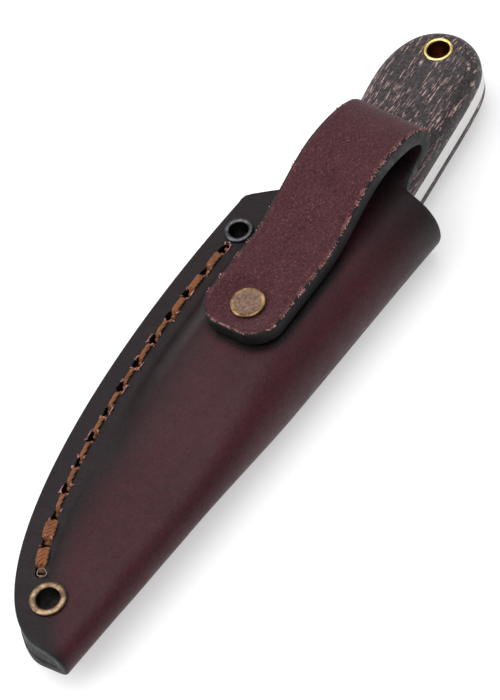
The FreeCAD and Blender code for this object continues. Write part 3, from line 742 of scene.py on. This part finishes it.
def panel_points():
    """Outer and inner points of the folded panel, column by column from its end to its mouth."""
    shares = section_shares()
    half = len(shares)
    start = SEAM_EDGE[0, 0]
    mouths = [mouth_of(share) for share in shares]
    outer = np.zeros((COLUMNS, 2 * half - 1, 3))
    inner = np.zeros_like(outer)
    for i in range(COLUMNS):
        u = i / (COLUMNS - 1)
        for j, share in enumerate(shares):
            even = min(1.0, share / 3)
            spread = (1 - even) * (1 - cos(pi * u / 2)) + even * u
            x = start + (mouths[j] - start) * spread
            edge = edge_at(x, SEAM_EDGE) if i else SEAM_EDGE[0, 1]
            out_y, out_z = Section(x, 0).point(edge, share)
            in_y, in_z = Section(x, LEATHER).point(edge, share)
            calm = min(1.0, share) * (1 - max(0.0, share - 3)) * (1 - eased(x, *CALM_SPAN))
            over = out_z + ripple(x, out_y) * calm + crease(x, out_y, edge)
            outer[i, j] = (x, out_y, MID + over)
            inner[i, j] = (x, in_y, MID + in_z)
            other = 2 * half - 2 - j
            if other != j:
                outer[i, other] = (x, out_y, max(0.0, MID - out_z))
                inner[i, other] = (x, in_y, MID - in_z)
    return outer, inner


def strap_frame(s, w, z):
    """A point given along and across the strap, in layout millimetres."""
    return (s * STRAP_COS - w * STRAP_SIN, s * STRAP_SIN + w * STRAP_COS, z)


def along_across(x, y):
    """The place along and across the strap of a point in plan."""
    return x * STRAP_COS + y * STRAP_SIN, -x * STRAP_SIN + y * STRAP_COS


def tongue_point(start, ends, share, top, low):
    """Outer and inner point of the tongue above a point of the mouth; share is 1 at the bend."""
    s0, w0 = start
    first, last = ends
    s = s0 + (BEND_S + bend_skew(w0) - s0) * share
    ease = min(1.0, (s - s0) / FLARE_LENGTH)
    extra = max(first, -last) - STRAP_HALF + RIM
    half = STRAP_HALF - RIM + extra * (1 - sqrt(1 - (1 - ease) ** 2))
    level = (w0 - (first + last) / 2) * 2 / (first - last)
    slide = (first + last) / 2 * (1 - ease)
    w = level * half + slide - TONGUE_LEAN * ease * (1 - share)
    settle = eased(ease, 0, 1)
    top = top * (1 - settle) + (MID + CREST - PLY) * settle
    low = low * (1 - settle) + (MID + CREST - LEATHER + PLY) * settle
    return strap_frame(s, w, top), strap_frame(s, w, low)


def make_panel():
    """The folded panel with its tongue, as one closed sheet."""
    outer, inner = panel_points()
    rows, columns = outer.shape[:2]
    quads = grid_quads(rows, columns, turned=True)
    mouth = [along_across(*outer[-1, j, :2]) for j in range(len(section_shares()))]
    reach = STRAP_HALF + TONGUE_FLARE
    lowest = MID + CREST - 3
    chosen = [j for j, (_, w) in enumerate(mouth) if abs(w) <= reach and outer[-1, j, 2] > lowest]
    ends = (mouth[chosen[0]][1], mouth[chosen[-1]][1])
    points, depths = list(outer.reshape(-1, 3)), list(inner.reshape(-1, 3))
    row = [(rows - 1) * columns + j for j in chosen]
    for k in range(1, TONGUE_ROWS + 1):
        previous, row = row, list(range(len(points), len(points) + len(chosen)))
        for j in chosen:
            top, low = tongue_point(mouth[j], ends, k / TONGUE_ROWS, outer[-1, j, 2], inner[-1, j, 2])
            points.append(top)
            depths.append(low)
        quads += [(previous[n], previous[n + 1], row[n + 1], row[n]) for n in range(len(chosen) - 1)]
    return solid_sheet("sheath_panel", points, depths, quads, RIM, INNER_RIM, [GRAIN, FLESH, EDGE], row)


# ---- strap

BEND_STEPS = 12
ARCH_STEPS = 34
STRAP_COLUMNS = 26
STRAP_ROWS = 90
STRAP_INNER_RIM = 0.45
CORNER_TURNS = (6, 84, 14)


def strap_middle():
    """Middle line of the closed strap from the tongue to its end: rows of (along, height, thickness)."""
    tongue_z = MID + CREST - LEATHER / 2
    thin = LEATHER - 2 * PLY
    rows = []
    for share in np.linspace(0, 1, BEND_STEPS, endpoint=False):
        turn = pi / 2 * (share - 1)
        s = BEND_S + (FRONT_S - BEND_S) * cos(turn)
        z = FRONT_Z + (FRONT_Z - tongue_z) * sin(turn)
        rows.append((s, z, thin + (STRAP_THICK - thin) * share))
    for turn in np.linspace(0, pi / 2, ARCH_STEPS, endpoint=False):
        s = ARCH_S + (FRONT_S - ARCH_S) * cos(turn)
        rows.append((s, FRONT_Z + (ARCH_Z - FRONT_Z) * sin(turn), STRAP_THICK))
    low = STRAP_LOW + STRAP_THICK / 2
    for s in np.linspace(ARCH_S, STRAP_END + STRAP_CORNER, STRAP_ROWS):
        rows.append((s, low + (ARCH_Z - low) * eased(s, ARCH_FOOT, ARCH_S), STRAP_THICK))
    return np.array(rows)


def strap_path():
    """Rows of (s and z of the inner point, s and z of the outer point, half width) along the strap."""
    middle = strap_middle()
    along = unit(np.gradient(middle[:, :2], axis=0))
    along[0] = (1, 0)
    outwards = np.stack([along[:, 1], -along[:, 0]], axis=1) * middle[:, 2:] / 2
    inner, outer = middle[:, :2] - outwards, middle[:, :2] + outwards
    rows = [(*a, *b, STRAP_HALF - RIM) for a, b in zip(inner, outer)]
    high = STRAP_LOW + STRAP_THICK
    for turn in np.radians(np.linspace(*CORNER_TURNS)):
        s = STRAP_END + STRAP_CORNER - (STRAP_CORNER - RIM) * sin(turn)
        width = STRAP_HALF - STRAP_CORNER + (STRAP_CORNER - RIM) * cos(turn)
        rows.append((s, STRAP_LOW, s, high, width))
    end = STRAP_END + RIM
    rows.append((end, STRAP_LOW, end, high, STRAP_HALF - STRAP_CORNER + RIM))
    return rows


def bend_skew(w):
    """The fold of the bend is not quite square to the strap: it lies further back on the right."""
    return SKEW * (w - STRAP_HALF)


def strap_skew(s, w):
    """The bend's skew, which fades out over the arch."""
    return bend_skew(w) * eased(s, *SKEW_SPAN)


def strap_relief(s, w):
    """How far the flesh side lies above its even height: slightly uneven, and pressed in under the cap."""
    if s > ARCH_S:
        return 0.0
    calm = eased(hypot(s, w), *PRESSED)
    pressed = (STRAP_THICK - LEATHER) * (1 - calm)
    return 0.10 * calm * noise.noise(Vector((s / 9, w / 7, 2.0))) - pressed


def make_strap():
    rows = strap_path()
    outer, inner = [], []
    for s_in, z_in, s_out, z_out, half in rows:
        for j in range(STRAP_COLUMNS):
            w = half * (1 - 2 * j / (STRAP_COLUMNS - 1))
            skew = strap_skew(s_out, w)
            outer.append(strap_frame(s_out + skew, w, z_out + strap_relief(s_out, w)))
            inner.append(strap_frame(s_in + skew, w, z_in))
    quads = grid_quads(len(rows), STRAP_COLUMNS)
    square = range(STRAP_COLUMNS)
    materials = [FLESH, GRAIN, EDGE]
    return solid_sheet("belt_loop_strap", outer, inner, quads, RIM, STRAP_INNER_RIM, materials, square)


# ---- holes, welt and stitches

SURFACE = MID + MARGIN
UNDERSIDE = MID - MARGIN
CUT_SPAN = (-1, SURFACE + 3)
CUT_TOP = MID + 20
STITCH_SAMPLES = 1500
LOOK_AHEAD = 0.3
RAGGED = 0.22
FLANGE_COVER = 0.9
WELT_KNOTS, WELT_SAMPLES, WELT_COLUMNS = 90, 200, 7
STRAND_STEPS = 26
WIDE_STITCH = 1.6
DIP, DIP_DEPTH = 0.75, 1.5
STITCH_TUCK = 0.1
LEG_RADIUS, LEG_INSET, LEG_SINK = 0.42, 0.35, 0.8
PLUG_WIDTH, PLUG_HALF = 2.4, 1.0
RAGGED_CELL = 2.2
FIBRE_RADII = [0.10, 0.08, 0.03]
END_FIBRES = 70


def stitch_points():
    """Centres and directions of the awl slits, from the mouth towards the tip."""
    turns = np.linspace(SEAM_START, pi, STITCH_SAMPLES)
    along = unit(np.stack([-SEAM_RUN * np.sin(turns), SEAM_RISE * np.cos(turns)], 1))
    line = seam_points(turns) + STITCH_INSET * np.stack([-along[:, 1], along[:, 0]], 1)
    travelled = distances(line)
    found = []
    for k in range(SLIT_COUNT):
        wanted = FIRST_SLIT + STITCH_PITCH * k
        spot = np.array([np.interp(wanted, travelled, line[:, a]) for a in (0, 1)])
        ahead = np.array([np.interp(wanted + LOOK_AHEAD, travelled, line[:, a]) for a in (0, 1)])
        found.append((spot, unit(ahead - spot)))
    return found


def distances(line):
    """How far along a line each of its points is."""
    return np.concatenate([[0], np.cumsum(np.linalg.norm(np.diff(line, axis=0), axis=1))])


SLITS = stitch_points()


def slot_outline(spot, way, length, width, steps=6):
    """Plan outline of a slot with round ends."""
    side = np.array([-way[1], way[0]])
    points = []
    for end, first in ((1, -90), (-1, 90)):
        for k in range(steps + 1):
            turn = radians(first + 180 * k / steps)
            ahead = way * (end * length / 2 + width / 2 * cos(turn))
            points.append(spot + ahead + side * width / 2 * sin(turn))
    return points


def prism(points, *levels):
    """A closed upright prism over a plan outline, with a ring of points at each level."""
    solid = np.array([(p[0], p[1], z) for z in levels for p in points])
    return solid, ring_faces(len(levels), len(points))


def circle(middle, radius, steps=48):
    return arc(middle, radius, [2 * pi * k / steps for k in range(steps)])


UPPER = centre("upper_eyelet") - SHIFT
LOWER = centre("lower_eyelet") - SHIFT


def new_cutter(points, faces):
    """A cutting solid; the faces that it leaves have the cut piece's third material."""
    cutter = new_object("cutter", points, faces, [EDGE] * 3, [2] * len(faces))
    clean(cutter)
    return cutter


def round_cutter(radius, low, high):
    """A cutting cylinder on the press stud's axis."""
    return new_cutter(*prism(circle((0, 0), radius), low, high))


def hole_cutter():
    """Awl slits, uneven at the surface as the awl left them, and both eyelet holes."""
    draw = random.Random(5)
    parts = []
    for spot, way in SLITS:
        width = SLIT_WIDTH * draw.uniform(1.2, 2.0)
        ragged = [p + RAGGED * np.array([draw.uniform(-1, 1), draw.uniform(-1, 1)])
                  for p in slot_outline(spot, way, TORN_LENGTH, width)]
        parts.append(prism(ragged, *CUT_SPAN))
    for middle, flange in ((UPPER, extent("upper_eyelet").x), (LOWER, extent("lower_eyelet").x)):
        parts.append(prism(circle(middle, flange / 2 - FLANGE_COVER), *CUT_SPAN))
    return new_cutter(*merge(parts))


def slant_end(piece):
    """The cut end leans out below the welt, except at the fold."""
    flat = layout_points(piece)
    x, y, z = flat.T
    below = np.clip((MID + WELT / 2 - z) / MARGIN, 0, 1)
    near = 1 - smooth_step(x, END_X, END_X + SLANT_LENGTH)
    flat[:, 0] -= END_SLANT * below * smooth_step(y, *SLANT_SPAN) * near
    piece.data.vertices.foreach_set("co", to_row(flat).ravel())
    piece.data.update()


def cut(piece, *cutters):
    """Cuts the cutters out of a piece, then removes the modifiers' objects."""
    for cutter in cutters:
        modifier = piece.modifiers.new("cut", "BOOLEAN")
        modifier.operation = "DIFFERENCE"
        modifier.solver = "EXACT"
        modifier.object = cutter
    graph = bpy.context.evaluated_depsgraph_get()
    mesh = bpy.data.meshes.new_from_object(piece.evaluated_get(graph))
    piece.modifiers.clear()
    piece.data = mesh


def welt_lines():
    """The welt's outer and inner edge in plan, matched point for point."""
    seam, mouth = outline(WELT_INSET)
    corner = mouth[: len(corner_arc()) // 2 + 1]
    outside = np.vstack([[(seam[0, 0], WELT_POINTS[0][1])], seam, corner])
    xs, ys = zip(*WELT_POINTS)
    fine = np.linspace(0, len(xs) - 1, WELT_KNOTS)
    knots = np.arange(len(xs))
    inside = np.stack([np.interp(fine, knots, xs), np.interp(fine, knots, ys)], 1)
    inside = np.vstack([inside, [MOUTH_POINTS[1]]])
    return resample(outside, WELT_SAMPLES), resample(inside, WELT_SAMPLES)


def resample(line, count):
    """The same line at even steps."""
    steps = distances(line)
    where = np.linspace(0, steps[-1], count)
    return np.stack([np.interp(where, steps, line[:, a]) for a in (0, 1)], 1)


def make_welt():
    outside, inside = welt_lines()
    top, low = [], []
    for a, b in zip(outside, inside):
        for k in range(WELT_COLUMNS):
            x, y = a + (b - a) * k / (WELT_COLUMNS - 1)
            top.append((x, y, MID + WELT / 2))
            low.append((x, y, MID - WELT / 2))
    quads = grid_quads(len(outside), WELT_COLUMNS, turned=True)
    return solid_sheet("seam_welt", top, low, quads, WELT_RIM, WELT_RIM, [EDGE] * 3)


def strand(start, end, width, side, draw):
    """One stitch: plies twisted round each other, their ends dipping into the slits."""
    length = np.linalg.norm(end - start)
    way = (end - start) / length
    across = np.array([-way[1], way[0]])
    ply = 0.30 + 0.05 * (width - 1.2)
    parts = []
    phase = draw.uniform(0, 2 * pi)
    pitch = draw.uniform(4.2, 5.6)
    count = 3 if width < WIDE_STITCH else 5
    for k in range(count):
        path, radii = [], []
        for step in range(STRAND_STEPS + 1):
            t = -DIP / length + (1 + 2 * DIP / length) * step / STRAND_STEPS
            turn = phase + 2 * pi * (k / count + t * length / pitch)
            bow = max(0.0, 1 - abs(2 * t - 1) ** 6)
            off = (width / 2 - ply) * cos(turn) * (0.55 + 0.45 * bow)
            sink = -DIP_DEPTH * (1 - bow) if 0 <= t <= 1 else -DIP_DEPTH
            lift = 0.30 + 0.16 * sin(turn) * bow + 0.12 * bow + sink
            spot = start + way * t * length + across * off
            path.append((spot[0], spot[1], side * lift))
            radii.append(ply * (0.8 + 0.2 * bow) * draw.uniform(0.93, 1.07))
        parts.append(tube_parts(path, radii, 7, 0.8))
    return parts


def slit_filling(spot, way):
    """The thread's two legs in an awl slit, and the crossing that fills the slit's middle."""
    parts = []
    for side in (-1, 1):
        foot = spot + way * side * (STITCH_SLIT / 2 - LEG_INSET)
        span = SURFACE - UNDERSIDE - 2 * LEG_SINK
        levels = [UNDERSIDE + LEG_SINK + span * k / 4 for k in range(5)]
        parts.append(prism(circle(foot, LEG_RADIUS, 8), *levels))
    plug = slot_outline(spot, way, STITCH_SLIT, PLUG_WIDTH)
    return parts + [prism(plug, MID - PLUG_HALF, MID + PLUG_HALF)]


def make_stitches():
    """Both faces' stitches and what fills the slits."""
    draw = random.Random(7)
    parts = []
    for (a, way_a), (b, way_b), width in zip(SLITS, SLITS[1:], STITCH_WIDTHS):
        start = a + way_a * (STITCH_SLIT / 2 - STITCH_TUCK)
        end = b - way_b * (STITCH_SLIT / 2 - STITCH_TUCK)
        for level, side in ((SURFACE, 1), (UNDERSIDE, -1)):
            for points, faces in strand(start, end, width * draw.uniform(0.92, 1.1), side, draw):
                points[:, 2] += level
                parts.append((points, faces))
    for spot, way in SLITS:
        parts += slit_filling(spot, way)
    return merged_object("seam_stitches", parts, THREAD)


def make_torn_lips():
    """Torn grain standing up in thin ragged ridges round each awl slit."""
    draw = random.Random(3)
    parts = []
    for spot, way in SLITS[:-1]:
        rim = slot_outline(spot, way, TORN_LENGTH, SLIT_WIDTH * 1.7, 10)
        for _ in range(draw.choice((3, 4, 5))):
            parts.append(torn_spike(spot, rim, draw))
        for _ in range(draw.choice((2, 3, 3))):
            parts.append(torn_ridge(spot, rim, draw))
    return merged_object("torn_slit_lips", parts, TORN)


def torn_ridge(spot, rim, draw):
    """A ridge of torn grain along part of an awl slit's edge."""
    first = draw.randrange(len(rim))
    span = draw.randint(3, 5)
    out = draw.uniform(0.95, 1.3)
    path, radii = [], []
    for k in range(span + 1):
        p = rim[(first + k) % len(rim)]
        share = k / span
        lift = 0.10 + 0.34 * sin(pi * share) * draw.uniform(0.6, 1.1)
        moved = spot + (p - spot) * (out + draw.uniform(-0.16, 0.16))
        path.append((moved[0], moved[1], SURFACE + lift))
        swell = sin(pi * min(0.96, max(0.06, share)))
        radii.append(0.05 + 0.15 * swell * draw.uniform(0.7, 1.2))
    return tube_parts(path, radii, 6, 0.8)


def torn_spike(spot, rim, draw):
    """A torn tag of grain standing off the edge of an awl slit."""
    p = rim[draw.randrange(len(rim))]
    out = unit(p - spot)
    side = np.array([-out[1], out[0]]) * draw.uniform(-0.6, 0.6)
    reach = draw.uniform(0.35, 0.9)
    path = [(*(p - 0.1 * out), SURFACE - 0.05)]
    path.append((*(p + 0.4 * reach * out + 0.3 * side), SURFACE + 0.22))
    path.append((*(p + reach * (out + side)), SURFACE + draw.uniform(0.12, 0.35)))
    return tube_parts(path, [0.16, 0.17 * draw.uniform(0.7, 1.2), 0.05], 6, 0.6)


def make_thread_end():
    """The small loop of thread left between the last stitch and the lower eyelet."""
    way = SLITS[-1][1]
    spot = SLITS[-1][0] + way * 0.5 + 0.5 * np.array([-way[1], way[0]])
    path = []
    for k in range(29):
        turn = 2 * pi * k / 26 + 0.6
        wobble = 1 + 0.12 * sin(3 * turn)
        path.append((spot[0] + 0.95 * wobble * cos(turn), spot[1] + 1.15 * sin(turn),
                     SURFACE + 0.16 + 0.10 * sin(2 * turn)))
    return merged_object("thread_end_loop", [tube_parts(path, [0.13] * len(path), 7)], PALE)


def make_strap_fibres():
    """Short pale fibres standing out along the strap's cut edges."""
    draw = random.Random(9)
    rows = strap_path()
    parts = []
    for row, after in zip(rows[BEND_STEPS + 2:], rows[BEND_STEPS + 3:]):
        for side in (-1, 1):
            ragged = noise.noise(Vector((row[2] / RAGGED_CELL, side * 5.0, 1.0)))
            count = 2 + 10 * ragged if side < 0 else 0.2 + 5 * ragged
            for _ in range(max(0, round(count))):
                parts.append(side_fibre(row, after, side, draw))
    parts += [end_fibre(rows[-1], draw) for _ in range(END_FIBRES)]
    return merged_object("strap_edge_fibres", parts, TORN)


def side_fibre(row, after, side, draw):
    """A fibre on one side of the strap, between two rows of its path."""
    _, _, s_out, z_out, half = row
    t = draw.random()
    s = s_out + (after[2] - s_out) * t
    w = half + (after[4] - half) * t + 0.30 + draw.uniform(-0.25, 0.12)
    z = z_out + (after[3] - z_out) * t - 0.03
    reach = draw.uniform(0.25, 0.75)
    slant = draw.uniform(-0.5, 0.5)
    s += strap_skew(s, side * w)
    path = [strap_frame(s, side * w, z),
            strap_frame(s + slant * 0.5, side * (w + 0.3 * reach), z + 0.16 * reach),
            strap_frame(s + slant, side * (w + 0.62 * reach), z + 0.02 * reach)]
    return tube_parts(path, FIBRE_RADII, 4)


def end_fibre(row, draw):
    """A fibre on the strap's rounded end."""
    _, _, s_end, z_end, half = row
    w = draw.uniform(-1, 1) * (half + 1.2)
    reach = draw.uniform(0.25, 0.7)
    s = s_end - 0.25 + draw.uniform(-0.05, 0.3)
    path = [strap_frame(s, w, z_end - 0.03),
            strap_frame(s - 0.3 * reach, w + draw.uniform(-0.2, 0.2), z_end + 0.14 * reach),
            strap_frame(s - 0.6 * reach, w + draw.uniform(-0.4, 0.4), z_end)]
    return tube_parts(path, FIBRE_RADII, 4)


# ---- metal fittings

UPPER_RIM, LOWER_RIM = 1.25, 1.6
BARREL_WALL = 0.4
CAP_ROLL, CAP_RIM_WIDTH = 0.42, 1.05
TUBE_WALL = 0.98
SEAT_ROOM, SEAT_DEPTH, POST_HOLE, SOCKET_ROOM = 0.15, 0.5, 1.6, 0.1


def eyelet_profile(flange, bore, barrel, height):
    """Rolled rim on the surface, barrel through the seam, and the end set outwards below."""
    width = (flange - bore) / 2
    middle = (bore + width, SURFACE + height * 0.42)
    rim = [(r, middle[1] + (z - middle[1]) * height * 0.58 / width)
           for r, z in arc_points(middle, width, 180, 0, 18)]
    rim += [(flange, SURFACE + 0.12), (flange - 0.12, SURFACE + 0.01)]
    rim += [(barrel, SURFACE + 0.01), (barrel, UNDERSIDE - 0.02)]
    rim += [(flange - 0.35, UNDERSIDE - 0.02), (flange - 0.15, UNDERSIDE - 0.2)]
    rim += [(flange - 0.3, UNDERSIDE - 0.45), (barrel + 0.1, UNDERSIDE - 0.5), (bore, UNDERSIDE - 0.3)]
    return rim


def make_eyelet(node, middle, rim, material):
    """An eyelet with its washer; rim is the width of its rolled rim."""
    flange = extent(node).x / 2
    height = level_span(node)[1] - SURFACE
    bore = flange - rim
    profile = eyelet_profile(flange, bore, bore + BARREL_WALL, height)
    points, faces = lathe_parts(profile, middle)
    # the faces inside the barrel take the painted shade
    dark = inside_faces(points, faces, middle, bore + 0.15, SURFACE + 0.45)
    return new_object(node + "_ring", points, faces, [material, SHADED_BORE], dark)


def inside_faces(points, faces, middle, radius, top):
    """1 for each face that lies wholly inside a radius and below a height, else 0."""
    away = np.hypot(points[:, 0] - middle[0], points[:, 1] - middle[1])
    low = points[:, 2] < top
    return [int(all(away[p] < radius and low[p] for p in face)) for face in faces]


def make_cap():
    """The press stud's cap: an almost flat disc with a rolled edge."""
    radius = extent("snap_cap").x / 2
    low, high = level_span("snap_cap")
    profile = [(0.01, high - 0.02), (radius * 0.5, high - 0.03), (radius - 1.0, high - 0.08)]
    profile += [(radius - 0.75, high - 0.05)]
    profile += arc_points((radius - CAP_ROLL, high - CAP_ROLL), CAP_ROLL, 100, -60, 10)
    profile += [(radius - 0.35, low + 0.02), (0.01, low + 0.02)]
    points, faces = lathe_parts(profile, (0, 0), 96)
    away = np.hypot(points[:, 0], points[:, 1])
    rim = [int(min(away[p] for p in face) > radius - CAP_RIM_WIDTH) for face in faces]
    return new_object("press_stud_cap", points, faces, [CAP, CAP_RIM], rim)


def make_tube():
    """The lanyard tube, with rounded ends."""
    middle = centre("lanyard_tube") - SHIFT
    radius = extent("lanyard_tube").x / 2
    low, high = level_span("lanyard_tube")
    bore = radius - TUBE_WALL
    half = TUBE_WALL / 2
    profile = arc_points((bore + half, high - half), half, 180, 0, 14)
    profile += arc_points((bore + half, low + half), half, 0, -180, 14)
    points, faces = lathe_parts(profile, middle)
    # the faces inside the tube take the painted shade
    dark = inside_faces(points, faces, middle, bore + 0.12, high - half / 2)
    return new_object("lanyard_tube_brass", points, faces, [BRIGHT, SHADED_TUBE_BORE], dark)


# ---- wear, burnish and painted shadow

BURNISH_FULL, BURNISH_TIP, BURNISH_GROWTH, BURNISH_SPAN = 4, 19, 12, (-85, -20)
LIP_DARK, LIP_SPAN = 0.75, (-4, 34)
# where the painted shadow beside the strap fades, along the strap and across its edge
SHADOW_ALONG, SHADOW_ACROSS = (16, 34), (0.5, 2.2)
STRAP_BURNISH = 0.6


def panel_wear(piece):
    """Darkening towards the seam and the mouth, a paler line along worn edges, and a painted shadow along
    the strap.
    """
    points = layout_points(piece)
    burnish, wear, stain = [], [], []
    for x, y, z in points:
        seam = max(0.0, edge_at(x, SEAM_TRUE) - y)
        mouth = mouth_at(y, MOUTH_TRUE) - x
        reach = BURNISH_TIP + BURNISH_GROWTH * eased(x, *BURNISH_SPAN)
        dark = 1 - eased(seam, BURNISH_FULL, reach)
        lip = LIP_DARK * (1 - eased(mouth, *LIP_SPAN))
        burnish.append(max(dark, lip))
        near = min(abs(seam - 0.5), abs(mouth - 0.5)) if z > SURFACE - 0.3 else 9
        wear.append(0.35 * max(0.0, 1 - near / 0.45))
        stain.append(strap_stain(x, y, z))
    set_wear(piece, stain=stain, burnish=burnish, wear=wear, fray=np.zeros(len(points)))


def strap_stain(x, y, z):
    """Painted shadow: the panel darkened just outside the strap's sides and end, standing for the strap's
    contact shadow.
    """
    s, w = along_across(x, y)
    corner_s, corner_w = STRAP_END + STRAP_CORNER, STRAP_HALF - STRAP_CORNER
    if s > corner_s:
        away = abs(w) - STRAP_HALF
    else:
        away = hypot(s - corner_s, max(0.0, abs(w) - corner_w)) - STRAP_CORNER
    if z < MID or away < -3:
        return 0.0
    return (1 - eased(s, *SHADOW_ALONG)) * (1 - eased(away, *SHADOW_ACROSS)) * (1.0 if w < 3 else 0.6)


def strap_wear(piece):
    """Fraying along the cut edge of the flesh side."""
    points = layout_points(piece)
    fray = []
    for x, y, _ in points:
        s, w = along_across(x, y)
        ragged = 0.32 + 1.35 * noise.noise(Vector((s / RAGGED_CELL, copysign(5.0, w), 1.0)))
        end = 1 - eased(s - STRAP_END, 0.5, 1.1)
        edge = eased(abs(w), STRAP_HALF - 0.95, STRAP_HALF - 0.5)
        fray.append(min(1.0, max(0.0, max(edge, end) * ragged * (1.0 if w < 0 else 0.4))))
    none = np.zeros(len(points))
    set_wear(piece, fray=fray, burnish=np.full(len(points), STRAP_BURNISH), stain=none, wear=none)


# ---- the object


def put(piece, body, slot, *nodes):
    """Cleans a piece, rides it on its body and hides the CAD parts it stands for."""
    clean(piece)
    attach(piece, body)
    if nodes:
        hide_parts(*nodes)
    return piece


def dress_sheath():
    cutter = hole_cutter()
    panel = make_panel()
    clean(panel)
    seat = round_cutter(extent("snap_stud").x / 2 + SEAT_ROOM, MID + CREST - SEAT_DEPTH, CUT_TOP)
    hole = round_cutter(POST_HOLE, MID + CREST - LEATHER - 1, CUT_TOP)
    cut(panel, cutter, seat, hole)
    welt = make_welt()
    clean(welt)
    cut(welt, cutter)
    for tool in (cutter, seat, hole):
        bpy.data.objects.remove(tool)
    slant_end(panel)
    slant_end(welt)
    put(panel, "sheath", "oxblood_leather", "sheath_leather")
    panel_wear(panel)
    put(welt, "sheath", "edge_leather", "welt")
    put(make_stitches(), "sheath", "waxed_thread", "seam_thread")
    put(make_torn_lips(), "sheath", "oxblood_leather")
    put(make_thread_end(), "sheath", "waxed_thread")
    upper = make_eyelet("upper_eyelet", UPPER, UPPER_RIM, GUNMETAL)
    put(upper, "sheath", "gunmetal", "upper_eyelet", "upper_eyelet_washer")
    lower = make_eyelet("lower_eyelet", LOWER, LOWER_RIM, ANTIQUE)
    put(lower, "sheath", "antique_brass", "lower_eyelet", "lower_eyelet_washer")


def dress_strap():
    strap = make_strap()
    clean(strap)
    socket = extent("snap_socket")
    seat = round_cutter(socket.x / 2 + SOCKET_ROOM, STRAP_LOW - 1, STRAP_LOW + socket.z)
    cut(strap, seat)
    bpy.data.objects.remove(seat)
    strap_wear(strap)
    fibres = make_strap_fibres()
    clean(fibres)
    for piece in (strap, fibres):
        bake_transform(piece)
    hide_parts("belt_strap")
    put(make_cap(), "strap", "antique_brass", "snap_cap")


def dress_knife():
    put(make_tube(), "knife", "bright_brass", "lanyard_tube")
    finishes = {
        STEEL: ("knife_blade",),
        MICARTA: ("upper_handle_scale", "lower_handle_scale"),
        ANTIQUE: ("handle_pins", "snap_stud", "snap_stud_post", "snap_socket"),
    }
    for material, nodes in finishes.items():
        for node in nodes:
            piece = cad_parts[node]
            piece.data.materials.clear()
            piece.data.materials.append(material)


# ---- studio


def make_floor():
    bpy.ops.mesh.primitive_plane_add(size=4, location=(0, 0, -0.0002))
    floor = bpy.context.object
    floor.name = "studio_floor"
    s = Shader("floor_pale")
    base = s.mix(s.noise(60, 2), (0.68, 0.68, 0.68), (0.72, 0.72, 0.72))
    rough = s.levels(s.noise(50, 2), 0.2, 0.8, 0.9, 0.95)
    normal = s.bump(s.noise(80, 2), 0.01, 0.1)
    material = s.finish(base, rough, normal, Specular_IOR_Level=0.1, Emission_Strength=0.45)
    floor.data.materials.append(material)


def area_light(name, place, target, size, power, colour=(1, 1, 1)):
    data = bpy.data.lights.new(name, "AREA")
    data.shape = "RECTANGLE"
    data.size, data.size_y = size
    data.energy = power
    data.color = colour
    lamp = bpy.data.objects.new(name, data)
    lamp.location = place
    lamp.rotation_euler = (Vector(target) - Vector(place)).to_track_quat("-Z", "Y").to_euler()
    bpy.context.scene.collection.objects.link(lamp)


def make_light():
    world = bpy.data.worlds.new("studio")
    world.use_nodes = True
    world.node_tree.nodes["Background"].inputs[0].default_value = (1, 1, 1, 1)
    world.node_tree.nodes["Background"].inputs[1].default_value = 0.42
    bpy.context.scene.world = world
    area_light("key", (-0.10, 0.16, 0.95), (0, 0, 0), (1.6, 1.3), 11.0)
    area_light("side", (-0.75, 0.55, 0.55), (0, 0, 0), (0.4, 0.4), 2.0)


def make_camera():
    """The photograph's viewpoint, fitted to the press stud's cap and the two eyelets."""
    data = bpy.data.cameras.new("camera")
    data.lens = 154.29
    data.sensor_width = 36
    data.clip_start = 0.05
    data.clip_end = 10
    camera = bpy.data.objects.new("camera", data)
    right = Vector((0.6136, -0.7646, -0.1969))
    up = Vector((0.7009, 0.4126, 0.5819))
    back = Vector((-0.3637, -0.4951, 0.7891))
    turn = Matrix((right, up, back)).transposed().to_4x4()
    place = Vector((-0.25110, -0.33915, 0.54416))
    camera.matrix_world = Matrix.Translation(place) @ turn
    bpy.context.scene.collection.objects.link(camera)
    bpy.context.scene.camera = camera


dress_sheath()
dress_strap()
dress_knife()
make_floor()
make_light()
make_camera()
bpy.context.scene.view_settings.view_transform = "Standard"
bpy.context.view_layer.update()
